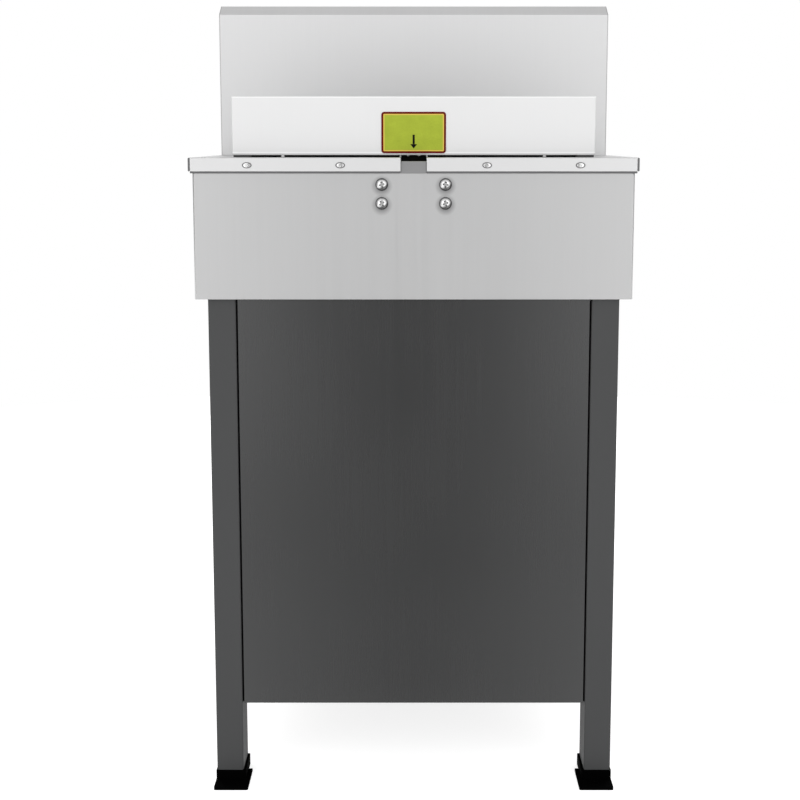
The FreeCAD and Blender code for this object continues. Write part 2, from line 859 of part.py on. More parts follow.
def body_screw_places():
    """Where the four screws of the lead screw's rear block sit."""
    return [(size.body_screw_span / 2 * side, at.spindle_level + size.body_screw_rise / 2 * level)
            for side in (-1, 1) for level in (-1, 1)]


def inlet_span(extra):
    """The inlet's low and high Y, grown by an extra on each side."""
    rear = size.inlet_rear - at.body_end
    return rear - extra, rear + size.inlet_width + extra


def tables():
    """Two rear table halves with the gauge's slot between them, and the front table."""
    under = at.table_under
    for side_name, side in SIDES.items():
        table = Body(f"rear_table_{side_name}")
        table.pad("XY", at.lip_base, size.table_height,
                  box_outline(at.slot_side * side, at.table_side * side, at.table_rear, at.bed_rear))
        table.cut("XY", at.lip_base, under,
                  box_outline((at.slot_side - size.past) * side, at.lip_inside * side,
                              at.table_rear + size.lip_sheet, at.bed_rear + size.past))
        table.cut("XZ", at.table_rear - size.past, at.table_rear + size.lip_sheet + size.past,
                  *[circle(reach * side, size.table_height - size.lip_screw_drop,
                           size.lip_screw_radius + size.screw_hole_clearance)
                    for reach in (size.lip_screw_inner, at.lip_screw_outer)])
        table.round(size.table_corner, along("z", x=at.table_side * side, y=at.table_rear))
        table.round(size.table_edge, along("x", y=at.table_rear, z=size.table_height))

    front = Body("front_table")
    front.pad("XY", at.lip_base, size.table_height,
              box_outline(-at.table_side, at.table_side, at.bed_front, at.table_front))
    front.cut("XY", at.lip_base, under,
              box_outline(-at.lip_inside, at.lip_inside,
                          at.bed_front - size.past, at.table_front - size.lip_sheet))
    front.cut("XZ", at.table_front - size.lip_sheet - size.past, at.table_front + size.past,
              *[circle(reach * side, size.table_height - size.lip_screw_drop,
                       size.lip_screw_radius + size.screw_hole_clearance)
                for reach in (size.lip_screw_inner, at.lip_screw_outer) for side in (-1, 1)])
    front.round(size.table_corner, along("z", x=at.table_side, y=at.table_front),
                along("z", x=-at.table_side, y=at.table_front))
    front.round(size.table_edge, along("x", y=at.table_front, z=size.table_height))


def cutting_bed():
    """The cast bed under the knife, its groove and the plastic cutting stick in it."""
    bed = Body("cutting_bed")
    bed.pad("XY", at.lip_base, size.table_height,
            box_outline(-at.table_side, at.table_side, at.bed_rear, at.bed_front))
    slot_start = at.lip_inside - size.bed_end_slot
    for side in SIDES.values():
        bed.cut("XY", at.lip_base, at.table_under,
                box_outline(slot_start * side, at.lip_inside * side,
                            at.bed_rear - size.past, at.bed_front + size.past))
    rib = slot_start - size.bed_rib_inset
    bed.pad("XY", at.bed_base, at.lip_base,
            box_outline(-rib, rib, at.bed_rear + size.bed_rib_inset, at.bed_front - size.bed_rib_inset))
    groove = size.stick_width / 2
    half = at.blade_half
    bed.cut("XY", size.table_height - size.stick_height, size.table_height,
            box_outline(-half, half, at.knife_line - groove, at.knife_line + groove))
    left = at.bar_left - size.knife_swing - size.window_corner
    bed.cut("XY", at.bed_base - size.past, size.table_height,
            box_outline(left, at.pull_rod_right + size.window_side,
                        at.bar_front - size.window_end, at.pull_rod_front + size.window_end))

    stick = Body("cutting_stick")
    clear = size.stick_clearance
    stick.pad("XY", size.table_height - size.stick_height, size.table_height - size.stick_sunk,
              box_outline(clear - half, half - clear,
                          at.knife_line - groove + clear, at.knife_line + groove - clear))


def body_screws():
    """Four domed cross-recess screws that hold the rear block to the panel."""
    screws = []
    for index, (x, z) in enumerate(body_screw_places()):
        name = f"body_screw_{index}"
        face = -at.body_end
        flat = size.body_screw_head - size.body_screw_dome
        disc = rod(name + "_disc", "y", x, face - flat, z, size.body_screw_head_radius, flat)
        dome = document.addObject("Part::Cone", name + "_dome")
        dome.Placement = FreeCAD.Placement(FreeCAD.Vector(0, 0, 0), TURNS["y"])
        bind(dome, "Radius1", size.body_screw_head_radius - size.body_screw_dome * 0.9)
        bind(dome, "Radius2", size.body_screw_head_radius)
        bind(dome, "Height", size.body_screw_dome)
        bind(dome, "Placement.Base.x", x)
        bind(dome, "Placement.Base.y", face - size.body_screw_head)
        bind(dome, "Placement.Base.z", z)
        shank = rod(name + "_shank", "y", x, face, z, size.body_screw_radius, size.body_screw_length)
        top = face - size.body_screw_head
        half, thin = size.recess_length / 2, size.recess_width / 2
        cross = [block(f"{name}_slot_{kind}", x - a, x + a, top, top + size.recess_depth, z - b, z + b)
                 for kind, a, b in (("wide", half, thin), ("tall", thin, half))]
        screws.append(less(name, fused(name + "_solid", disc, dome, shank), *cross))
    piece("body_screws", together("body_screw_set", *screws))


def lip_screws():
    """Flat screws in the table's rear and front lips."""
    screws = []
    for end_name, end in ENDS.items():
        for reach_name, reach in (("inner", size.lip_screw_inner), ("outer", at.lip_screw_outer)):
            for side in (-1, 1):
                name = f"lip_screw_{end_name}_{reach_name}_{'left' if side < 0 else 'right'}"
                x, z = reach * side, size.table_height - size.lip_screw_drop
                face = at.table_front * end
                tip = at.body_end * end
                head_start = face if end > 0 else face - size.lip_screw_head
                shank_start = tip if end > 0 else face
                head = rod(name + "_head", "y", x, head_start, z, size.lip_screw_head_radius,
                           size.lip_screw_head)
                shank = rod(name + "_shank", "y", x, shank_start, z, size.lip_screw_radius,
                            at.table_front - at.body_end)
                screws.append(fused(name, head, shank))
    piece("lip_screws", together("lip_screw_set", *screws))


def lead_screw_parts():
    """The lead screw under the slot, its two blocks, guide rods and handwheel."""
    level = at.spindle_level
    blocks = []
    for end_name, end in ENDS.items():
        low, high = at.block_face * end, at.body_end_inside * end
        if end < 0:
            low, high = high, low
        base = block(f"spindle_block_{end_name}_base", size.block_width / -2, size.block_width / 2,
                     low, high, level - size.block_height / 2, level + size.block_height / 2)
        start, length = low - size.past, size.block_depth + size.past * 2
        tools = [rod(f"spindle_bore_{end_name}", "y", 0, start, level,
                     size.spindle_radius + size.running_clearance, length)]
        for side in (-1, 1):
            tools.append(rod(f"rod_bore_{end_name}_{side + 1}", "y", at.rod_reach * side, start, level,
                             size.rod_radius + size.running_clearance, length))
        if end < 0:
            for index, (x, z) in enumerate(body_screw_places()):
                tools.append(rod(f"block_screw_bore_{index}", "y", x, start, z,
                                 size.body_screw_radius + size.running_clearance, length))
        blocks.append(less(f"spindle_block_{end_name}", base, *tools))
    piece("spindle_blocks", together("spindle_block_set", *blocks))

    rods = [rod(f"guide_rod_{side + 1}", "y", at.rod_reach * side, -at.body_end_inside, level,
                size.rod_radius, at.body_end_inside * 2) for side in (-1, 1)]
    piece("guide_rods", together("guide_rod_set", *rods))

    screw = Body("lead_screw")
    nose = size.wheel_stand_off + size.wheel_hub_length + at.body_end
    start = -at.body_end_inside
    shoulder = at.body_end_inside - size.running_clearance
    screw.turn((0, start + size.running_clearance), (size.spindle_radius, start + size.running_clearance),
               (size.spindle_radius, shoulder), (size.spindle_nose_radius, shoulder),
               (size.spindle_nose_radius, nose), (0, nose))
    screw.put(z=level)

    wheel = Body("handwheel")
    back = at.body_end + size.wheel_stand_off
    tip = back + size.wheel_hub_length
    rim = size.wheel_rim_radius
    middle = back + size.wheel_hub_length / 2
    half_web = size.wheel_web / 2
    corner = size.wheel_rim_corner
    outer = size.wheel_radius
    inner = size.wheel_radius - rim * 2
    wheel.turn((size.spindle_nose_radius, back), (size.wheel_hub_radius, back),
               (size.wheel_hub_radius, middle - half_web), (inner, middle - half_web),
               (inner, middle - rim + corner), (inner + corner, middle - rim),
               (outer - corner, middle - rim), (outer, middle - rim + corner),
               (outer, middle + rim - corner), (outer - corner, middle + rim),
               (inner + corner, middle + rim), (inner, middle + rim - corner),
               (inner, middle + half_web), (size.wheel_hub_radius, middle + half_web),
               (size.wheel_hub_radius, tip), (size.spindle_nose_radius, tip))
    wheel.pad("XZ", middle + half_web, middle + half_web + size.wheel_knob_length,
              circle((size.wheel_hub_radius + inner) / 2, 0, size.wheel_knob_radius))
    wheel.put(z=level)


def back_gauge():
    """The back gauge: its front plate, sheet cover, end glides, marker plate and carriage."""
    side = at.gauge_side
    sheet = size.gauge_sheet
    foot = size.gauge_foot_width / 2

    plate = Body("gauge_plate")
    plate.pad("YZ", -side, side,
              box_outline(at.gauge_plate_back, at.gauge_front,
                          size.table_height + size.gauge_plate_lift, at.gauge_top))
    plate.pad("XY", at.gauge_base, at.gauge_base + size.gauge_foot_height,
              box_outline(-foot, foot, at.gauge_rear + sheet * 2, at.gauge_plate_back))

    inner_end = side - size.glide_width
    cover = Body("gauge_cover")
    cover.pad("XY", at.gauge_hem, at.gauge_top,
              box_outline(-side, side, at.gauge_rear, at.gauge_plate_back))
    cover.cut("XY", at.gauge_hem, at.gauge_top - sheet,
              box_outline(sheet - side, side - sheet,
                          at.gauge_rear + sheet, at.gauge_plate_back + size.past))
    cover.pad("XY", at.gauge_hem, at.gauge_hem + sheet,
              box_outline(sheet - inner_end, inner_end - sheet,
                          at.gauge_rear + sheet, at.gauge_rear + size.gauge_return))
    cover.round(size.gauge_edge, along("x", y=at.gauge_rear, z=at.gauge_top),
                along("z", x=side, y=at.gauge_rear), along("z", x=-side, y=at.gauge_rear))
    cover.round(size.gauge_hem_edge, along("x", y=at.gauge_rear, z=at.gauge_hem))

    glides = []
    for name, sign in SIDES.items():
        runner_ends = inner_end * sign, (side - sheet) * sign
        spigot_ends = (inner_end + sheet * 2) * sign, (side - sheet) * sign
        if sign < 0:
            runner_ends, spigot_ends = runner_ends[::-1], spigot_ends[::-1]
        runner = block(f"glide_runner_{name}", *runner_ends, at.gauge_rear + sheet, at.gauge_plate_back,
                       size.table_height + size.glide_clearance, at.gauge_base)
        spigot = block(f"glide_spigot_{name}", *spigot_ends,
                       at.gauge_rear + sheet, at.gauge_plate_back,
                       at.gauge_base, at.gauge_base + size.glide_spigot)
        glides.append(fused(f"glide_{name}", runner, spigot))
    piece("gauge_glides", together("gauge_glide_set", *glides))

    marker = Body("gauge_marker_plate")
    half = size.marker_width / 2
    marker.pad("XZ", at.gauge_rear - size.marker_sheet, at.gauge_rear,
               box_outline(-half, half, at.gauge_base, at.gauge_base + size.marker_height))
    marker.round(size.marker_corner, along("y", x=-half), along("y", x=half))

    carriage = Body("gauge_carriage")
    middle = at.carriage_middle
    level = at.spindle_level
    neck = at.slot_side - size.neck_clearance
    half_nut = size.nut_width / 2
    low, high = level - size.nut_height / 2, level + size.nut_height / 2
    carriage.pad("XY", low, high,
                 box_outline(-half_nut, half_nut,
                             middle - size.nut_length / 2, middle + size.nut_length / 2))
    carriage.pad("XY", high, at.gauge_base,
                 box_outline(-neck, neck, middle - size.neck_length / 2, middle + size.neck_length / 2))
    clearance = size.running_clearance
    carriage.cut("XZ", middle - size.nut_length, middle + size.nut_length,
                 circle(0, level, size.spindle_radius + clearance),
                 circle(-at.rod_reach, level, size.rod_radius + clearance),
                 circle(at.rod_reach, level, size.rod_radius + clearance))

    screws = []
    button_base = size.table_height + size.glide_clearance
    rear_of_neck = middle - size.neck_length / 2
    for name, sign in SIDES.items():
        screws.append(rod(f"gauge_screw_{name}", "z", (side - size.gauge_screw_from_side) * sign,
                          at.gauge_rear + size.gauge_screw_setback, button_base,
                          size.gauge_screw_radius, at.gauge_hem - button_base))
        screws.append(rod(f"carriage_bolt_{name}", "y", size.carriage_bolt_reach * sign,
                          rear_of_neck - size.carriage_bolt_radius, at.gauge_base - size.carriage_bolt_drop,
                          size.carriage_bolt_radius, size.carriage_bolt_radius))
    piece("gauge_screws", together("gauge_screw_set", *screws))


def head_covers():
    """The head's bent rear and top sheet, its side sheets and its front sheet."""
    sheet = size.head_sheet
    slope = root(size.bevel_depth * size.bevel_depth + size.bevel_height * size.bevel_height)
    fold_inside = at.fold_level - sheet * ((slope - size.bevel_height) / size.bevel_depth)
    bevel_end = at.head_rear + size.bevel_depth
    bevel_inside = bevel_end + sheet * ((slope - size.bevel_depth) / size.bevel_height)
    base = size.table_height
    throat, lining = at.throat_side, at.throat_side + sheet

    rear = Body("head_rear_cover")
    rear.pad("YZ", -at.head_side, at.head_side,
             outline((at.head_rear, base), (at.head_rear, at.fold_level), (bevel_end, at.head_top),
                     (at.head_front_inside, at.head_top), (at.head_front_inside, at.head_roof),
                     (bevel_inside, at.head_roof), (at.head_rear_inside, fold_inside),
                     (at.head_rear_inside, base)))
    rear.cut("XZ", at.head_rear - size.past, at.head_rear_inside + size.past,
             box_outline(-throat, throat, base - size.past, at.throat_top))
    for side in SIDES.values():
        rear.pad("XY", base, at.throat_top,
                 box_outline(throat * side, lining * side, at.head_rear,
                             at.knife_line - size.lining_behind_knife))
    rear.pad("XY", at.throat_top, at.throat_top + sheet,
             box_outline(-lining, lining, at.head_rear, at.head_rear + size.lining_roof_depth))

    for side_name, side in SIDES.items():
        cover = Body(f"head_{side_name}_cover")
        low, high = at.head_inside, at.head_side
        if side < 0:
            low, high = -high, -low
        cover.pad("YZ", low, high,
                  outline((at.head_rear_inside, base), (at.head_front_inside, base),
                          (at.head_front_inside, at.head_roof), (bevel_inside, at.head_roof),
                          (at.head_rear_inside, fold_inside)))

    front = Body("head_front_cover")
    top = at.throat_top + sheet
    front.pad("XZ", at.head_front_inside, at.head_front,
              outline((-at.head_side, base), (-throat, base), (-throat, top), (throat, top),
                      (throat, base), (at.head_side, base), (at.head_side, at.head_top),
                      (-at.head_side, at.head_top)))
    for side in SIDES.values():
        front.pad("XY", base, top,
                  box_outline(throat * side, lining * side,
                              at.head_front - size.lining_front_depth + sheet, at.head_front))
        near = at.throat_side + size.lug_gap
        low, high = near, near + size.lug_plate
        if side < 0:
            low, high = -high, -low
        front.pad("YZ", low, high,
                  box_outline(at.head_front, at.head_front + size.lug_back,
                              at.hinge_z - size.lug_half_height, at.hinge_z + size.lug_half_height),
                  circle(at.hinge_y, at.hinge_z, size.pin_radius))
    front.cut("XZ", at.head_front_inside - size.past, at.head_front + size.past,
              circle(at.stop_reach, at.stop_level, size.button_stem_radius + size.running_clearance))


def head_frames():
    """Cast side frames on the bed, the crossbeam between them and the knife's keepers."""
    for side_name, side in SIDES.items():
        frame = Body(f"side_frame_{side_name}")
        low, high = at.frame_inside, at.frame_outside
        if side < 0:
            low, high = -high, -low
        back = at.bed_rear + size.frame_heel_gap
        foot_front = at.beam_front - size.frame_foot_setback
        frame.pad("YZ", low, high, box_outline(back, at.beam_front, size.table_height, at.frame_top))
        inner = at.frame_outside - size.frame_foot
        frame.pad("XY", size.table_height, size.table_height + size.frame_foot_height,
                  box_outline(inner * side, at.frame_outside * side, back, foot_front))

    beam = Body("upper_crossbeam")
    back = at.beam_front - size.beam_depth
    rib = size.beam_rib
    beam.pad("XY", at.beam_base, at.frame_top,
             box_outline(-at.frame_inside, at.frame_inside, back, at.beam_front))
    first = size.clamp_rod_radius + rib
    second = at.clamp_rod_reach - size.clamp_rod_radius - rib
    for side in SIDES.values():
        beam.cut("XY", at.beam_base + rib, at.frame_top,
                 box_outline(first * side, second * side, back + rib, at.beam_front - rib))
    beam.cut("XY", at.beam_base - size.past, at.frame_top + size.past,
             *[circle(x, at.clamp_middle, size.clamp_rod_radius + size.running_clearance)
               for x in (-at.clamp_rod_reach, value_of(0), at.clamp_rod_reach)])

    keepers = []
    face = at.bar_front + size.keeper_gap
    tip = face + size.keeper_plate
    top = at.frame_top + size.keeper_plate
    for name, side in SIDES.items():
        middle = (at.throat_side - size.keeper_from_throat) * side
        low, high = middle - size.keeper_width / 2, middle + size.keeper_width / 2
        arm = block(f"keeper_arm_{name}", low, high, tip - size.keeper_arm, tip, at.frame_top, top)
        plate = block(f"keeper_plate_{name}", low, high, face, tip, at.frame_top - size.keeper_drop, top)
        keepers.append(fused(f"keeper_{name}", arm, plate))
    piece("knife_keepers", together("knife_keeper_set", *keepers))


def clamp_parts():
    """The clamp bar, its two guide rods with the middle screw, and the nut wheel that drives it."""
    bar = Body("clamp_bar")
    half_web = size.clamp_web / 2
    back = at.clamp_front - size.clamp_depth
    shoulder = at.clamp_base + size.clamp_sole
    half = at.throat_side - size.clamp_side_gap
    bar.pad("YZ", -half, half,
            outline((back, at.clamp_base), (at.clamp_front, at.clamp_base), (at.clamp_front, shoulder),
                    (at.clamp_middle + half_web, shoulder), (at.clamp_middle + half_web, at.clamp_top),
                    (at.clamp_middle - half_web, at.clamp_top), (at.clamp_middle - half_web, shoulder),
                    (back, shoulder)))

    length = at.frame_top + size.clamp_rod_rise - at.clamp_top
    rods = [rod(f"clamp_rod_{name}", "z", x, at.clamp_middle, at.clamp_top,
                size.clamp_rod_radius, length)
            for name, x in (("left", -at.clamp_rod_reach), ("middle", 0), ("right", at.clamp_rod_reach))]
    piece("clamp_rods", together("clamp_rod_set", *rods))

    wheel = Body("clamp_nut_wheel")
    low = at.frame_top + size.nut_wheel_gap
    wheel.pad("XY", low, low + size.nut_wheel_thickness,
              circle(0, 0, size.nut_wheel_radius),
              circle(0, 0, size.clamp_rod_radius + size.running_clearance))
    wheel.cut("XY", low - size.past, low + size.nut_wheel_thickness + size.past,
              circle(size.nut_wheel_radius, 0, size.nut_wheel_notch))
    notch = wheel.body.Tip
    pattern = wheel.body.newObject("PartDesign::PolarPattern", "clamp_nut_wheel_teeth")
    pattern.Originals = [notch]
    axis = [part for part in wheel.body.Origin.OriginFeatures if part.Role == "Z_Axis"][0]
    pattern.Axis = (axis, [""])
    pattern.Angle = 360
    bind(pattern, "Occurrences", size.nut_wheel_teeth)
    wheel.body.Tip = pattern
    wheel.put(y=at.clamp_middle)


def bolt_places():
    """The knife bolts' places along the bar."""
    last = int(size.bolt_count.number) - 1
    first = at.knife_middle - at.blade_half + size.bolt_end_gap
    pitch = (at.blade_half - size.bolt_end_gap) * 2 / last
    return [first + pitch * index for index in range(last + 1)]


def knife_parts():
    """The blade with its one-sided bevel, the bar that carries it, and their bolts."""
    left, right = at.knife_middle - at.blade_half, at.knife_middle + at.blade_half
    level = at.bar_base + size.bolt_lift

    blade = Body("knife_blade")
    blade.pad("YZ", left, right,
              outline((at.knife_line, at.blade_base), (at.knife_line + size.blade_land, at.blade_base),
                      (at.blade_front, at.blade_base + size.blade_bevel),
                      (at.blade_front, at.blade_top),
                      (at.knife_line, at.blade_top)))
    blade_hole = at.bar_front - size.bolt_length
    bolt_holes = [circle(x, level, size.bolt_radius) for x in bolt_places()]
    blade.cut("XZ", blade_hole, at.blade_front + size.past, *bolt_holes)

    bar = Body("knife_bar")
    bar.pad("XZ", at.blade_front, at.bar_front,
            box_outline(at.bar_left, right, at.bar_base, at.bar_top))
    bar.cut("XZ", at.blade_front - size.past, at.bar_front + size.past, *bolt_holes)
    bar.cut("XZ", at.bar_front - size.bolt_head, at.bar_front + size.past,
            *[circle(x, level, size.bolt_head_radius) for x in bolt_places()])

    bolts = []
    for index, x in enumerate(bolt_places()):
        shank = rod(f"knife_bolt_shank_{index}", "y", x, blade_hole, level,
                    size.bolt_radius, size.bolt_length)
        head = rod(f"knife_bolt_head_{index}", "y", x, at.bar_front - size.bolt_head, level,
                   size.bolt_head_radius, size.bolt_head)
        bolts.append(fused(f"knife_bolt_{index}", shank, head))
    piece("knife_bolts", together("knife_bolt_set", *bolts))


def knife_drive():
    """The pull rod down through the bed, the crank disc under it and the geared motor."""
    left, right = at.bar_left, at.pull_rod_right
    half = size.pull_rod_width / 2
    bend = at.bed_base - size.pull_rod_bend
    pull = Body("pull_rod")
    pull.pad("XZ", at.bar_front, at.pull_rod_front,
             outline((left, bend), (at.eye_x - half, at.eye_z - half), (at.eye_x + half, at.eye_z + half),
                     (right, bend + half), (right, at.bar_base + size.pull_rod_top),
                     (left, at.bar_base + size.pull_rod_top)))
    pull.pad("XZ", at.bar_front, at.pull_rod_front, circle(at.eye_x, at.eye_z, size.pull_rod_eye))
    pull.cut("XZ", at.bar_front - size.past, at.pull_rod_front + size.past,
             circle(at.eye_x, at.eye_z, size.crank_pin_radius + size.running_clearance))

    crank = Body("crank_disc")
    crank.pad("XZ", at.crank_face, at.crank_back, circle(0, 0, size.crank_radius))
    hub_end = at.crank_back + size.crank_hub_length
    crank.pad("XZ", at.crank_back, hub_end, circle(0, 0, size.crank_hub_radius))
    crank.pad("XZ", hub_end, hub_end + size.crank_shaft_length, circle(0, 0, size.crank_shaft_radius))
    crank.pad("XZ", at.crank_face - size.crank_pin_length, at.crank_face,
              circle(size.knife_swing / 2, size.knife_drop / 2, size.crank_pin_radius))
    crank.put(x=at.crank_x, z=at.crank_z)

    box_left = at.crank_x - size.gearbox_width / 2
    box_right = at.crank_x + size.gearbox_width / 2
    front = at.gearbox_face + size.gearbox_depth
    motor_y = at.gearbox_face + size.motor_radius
    motor_end = box_right + size.motor_length
    motor = Body("gear_motor")
    motor.pad("XY", at.floor_top, at.crank_z * 2 - at.floor_top,
              box_outline(box_left, box_right, at.gearbox_face, front))
    motor.round(size.gearbox_edge, along("z"))
    motor.cut("XZ", at.gearbox_face - size.past, at.gearbox_face + size.crank_shaft_length,
              circle(at.crank_x, at.crank_z, size.crank_shaft_radius + size.running_clearance))
    motor.pad("YZ", box_right - size.gearbox_edge, motor_end, circle(motor_y, at.crank_z, size.motor_radius))
    foot = motor_end - size.motor_foot_length
    motor.pad("XY", at.floor_top, at.crank_z,
              box_outline(foot, motor_end - size.motor_box / 2,
                          motor_y - size.motor_foot_depth / 2, motor_y + size.motor_foot_depth / 2))


def front_guard():
    """The clear guard before the knife: a bent sheet with two cheeks, hinged on the head."""
    guard = Body("guard")
    y, z = at.hinge_y, at.hinge_z
    back, top = y - size.guard_hinge_back, z + size.guard_hinge_top
    brow_y, brow_z = y + size.guard_brow_reach, z - size.guard_brow_drop
    front_y, front_z = y + size.guard_front_reach, z - size.guard_front_drop
    foot = front_z - size.guard_foot
    half = at.throat_side
    sheet = size.guard_sheet
    profile = [(back, top), (brow_y, brow_z), (front_y, front_z), (front_y, foot)]
    guard.pad("YZ", -half, half,
              outline(*profile, (front_y - sheet, foot), (front_y - sheet, front_z - sheet / 4),
                      (brow_y - sheet / 2, brow_z - sheet), (back, top - sheet)))
    for side in SIDES.values():
        low, high = half - sheet, half
        if side < 0:
            low, high = -high, -low
        guard.pad("YZ", low, high,
                  outline(*profile, (y + size.guard_heel, foot), (back, z - size.guard_hinge_top)))
        guard.cut("YZ", low - size.past, high + size.past,
                  circle(y, z, size.pin_radius + size.running_clearance))


def push_button(label, x, z, face, cap_radius, cap_height, travel):
    """A mushroom button whose stem runs in a hole of its panel."""
    button = Body(label)
    stop = face + travel + size.button_stop_gap
    button.pad("XZ", stop - size.button_stem_length, stop, circle(0, 0, size.button_stem_radius))
    button.pad("XZ", stop, stop + cap_height, circle(0, 0, cap_radius))
    button.round(size.button_edge, rim_at(stop + cap_height))
    button.put(x=x, z=z)


def rim_at(y):
    """A test for the widest round edge at a level of Y."""
    def chosen(edge):
        curve = edge.Curve
        return curve.TypeId == "Part::GeomCircle" and abs(curve.Center.y - value_of(y).number) < 0.01
    return chosen


def controls():
    """Two cut buttons, the emergency stop, the rotary mains switch and the power inlet."""
    for name, side in SIDES.items():
        push_button(f"cut_button_{name}", at.button_reach * side, at.button_level, at.body_end,
                    size.button_cap_radius, size.button_cap_height, size.button_travel)
    push_button("emergency_stop", at.stop_reach, at.stop_level, at.head_front,
                size.stop_cap_radius, size.stop_cap_height, size.stop_travel)

    switch = Body("power_switch")
    start = at.body_end + size.switch_gap
    top = start + size.switch_knob_height
    switch.pad("XZ", start - size.button_stem_length, start, circle(0, 0, size.switch_stem_radius))
    switch.pad("XZ", start, top, circle(0, 0, size.switch_knob_radius))
    grip = size.switch_grip_width / 2
    switch.pad("XZ", top, top + size.switch_grip_height,
               box_outline(-grip, grip, size.switch_grip_width - size.switch_knob_radius,
                           size.switch_knob_radius - size.switch_grip_inset))
    switch.put(x=at.switch_reach, z=at.button_level)

    inlet = Body("power_inlet")
    low_y, high_y = inlet_span(0)
    low_z = at.body_base + size.inlet_lift
    high_z = low_z + size.inlet_height
    wide_y = inlet_span(size.inlet_flange)
    inlet.pad("YZ", at.body_side - size.inlet_depth, at.body_side, box_outline(low_y, high_y, low_z, high_z))
    inlet.pad("YZ", at.body_side, at.body_side + size.inlet_flange_sheet,
              box_outline(*wide_y, low_z - size.inlet_flange, high_z + size.inlet_flange))
    wall = size.inlet_wall
    inlet.cut("YZ", at.body_side - size.inlet_depth + wall, at.body_side + size.inlet_flange_sheet,
              box_outline(low_y + wall, high_y - wall, low_z + wall * 3, high_z - wall * 3))
    middle_y, middle_z = (low_y + high_y) / 2, (low_z + high_z) / 2
    inlet.pad("YZ", at.body_side - size.inlet_depth + wall, at.body_side - wall,
              circle(middle_y, middle_z - size.inlet_pin_pitch / 2, size.inlet_pin_radius),
              circle(middle_y, middle_z + size.inlet_pin_pitch / 2, size.inlet_pin_radius),
              circle(middle_y + size.inlet_pin_pitch / 3, middle_z, size.inlet_pin_radius))


stand_posts()
feet()
stand_shelf()
stand_rear_panel()
stand_side_panels()
stand_door()
hinge_pins()
body_panels()
tables()
cutting_bed()
body_screws()
lip_screws()
lead_screw_parts()
back_gauge()
head_covers()
head_frames()
clamp_parts()
knife_parts()
knife_drive()
front_guard()
controls()
document.recompute()

for thing in document.Objects:
    if "Invalid" in thing.State or "Error" in thing.State:
        raise ValueError(f"{thing.Label} is in state {thing.State}")
for thing in pieces:
    if thing.Shape.isNull() or not thing.Shape.isValid() or not thing.Shape.Solids:
        raise ValueError(f"{thing.Label} has no valid solid")

os.makedirs("parts", exist_ok=True)
for thing in pieces:
    thing.Shape.exportStep(f"parts/{thing.Label}.step")
    print(thing.Label, len(thing.Shape.Solids), round(thing.Shape.Volume))
print(len(pieces), "pieces")
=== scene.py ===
"""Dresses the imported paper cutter: finishes for its CAD nodes, detailed pieces, light and camera.

Shapes are in millimetres in the row frame, and a Bench turns them into metres. The sizes in
finishes and those of the soft boxes are in metres. Left and right are as seen from the machine's
rear, which faces -Y.
"""
import functools
import itertools
import logging
import math
import random
from collections.abc import Mapping, Sequence
from dataclasses import dataclass, field
from enum import Enum
from typing import Protocol

import bmesh
import bpy
from mathutils import Matrix, Vector

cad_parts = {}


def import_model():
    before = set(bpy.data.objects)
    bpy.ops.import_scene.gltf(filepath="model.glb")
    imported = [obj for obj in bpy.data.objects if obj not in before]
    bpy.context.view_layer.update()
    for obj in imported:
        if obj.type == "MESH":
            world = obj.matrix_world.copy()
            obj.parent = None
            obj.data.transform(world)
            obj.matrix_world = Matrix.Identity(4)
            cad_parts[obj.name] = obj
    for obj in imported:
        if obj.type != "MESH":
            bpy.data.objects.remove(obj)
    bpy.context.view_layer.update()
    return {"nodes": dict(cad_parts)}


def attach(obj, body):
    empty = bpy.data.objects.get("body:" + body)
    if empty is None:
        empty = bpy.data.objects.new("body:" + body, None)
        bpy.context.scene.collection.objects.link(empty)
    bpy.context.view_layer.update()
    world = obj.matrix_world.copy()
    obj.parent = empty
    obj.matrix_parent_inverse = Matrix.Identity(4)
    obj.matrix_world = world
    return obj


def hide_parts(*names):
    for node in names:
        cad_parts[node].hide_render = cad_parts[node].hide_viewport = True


MM = 0.001
SIDES = (-1, 1)
REARWARD = (0, -1, 0)
FORWARD = (0, 1, 0)
UPWARD = (0, 0, 1)
EDGE_BLUR = 0.00025
SEVEN_BARS = {"0": "abcdef", "1": "bc", "2": "abged", "3": "abgcd", "4": "fgbc", "5": "afgcd",
              "6": "afgecd", "7": "abc", "8": "abcdefg", "9": "abfgcd", "-": "g"}

log = logging.getLogger("scene")

Colour = tuple[float, float, float]
Point = tuple[float, float]
Place = tuple[float, float, float]
Box = tuple[Place, Place]
Profile = tuple[Point, ...]
Inputs = Mapping[str | int, object]


# Shader maths


@dataclass(frozen=True)
class Wire:
    """An output socket of a material's node tree, for use in expressions."""

    shader: "Shader"
    socket: bpy.types.NodeSocket

    def __add__(self, other: "Wire | float") -> "Wire":
        """Returns self + other."""
        return self.shader.math("ADD", self, other)

    def __radd__(self, other: float) -> "Wire":
        """Returns other + self."""
        return self.shader.math("ADD", other, self)

    def __sub__(self, other: "Wire | float") -> "Wire":
        """Returns self - other."""
        return self.shader.math("SUBTRACT", self, other)

    def __rsub__(self, other: float) -> "Wire":
        """Returns other - self."""
        return self.shader.math("SUBTRACT", other, self)

    def __mul__(self, other: "Wire | float") -> "Wire":
        """Returns self * other."""
        return self.shader.math("MULTIPLY", self, other)

    def __rmul__(self, other: float) -> "Wire":
        """Returns other * self."""
        return self.shader.math("MULTIPLY", other, self)

    def __abs__(self) -> "Wire":
        """Returns the value without its sign."""
        return self.shader.math("ABSOLUTE", self)


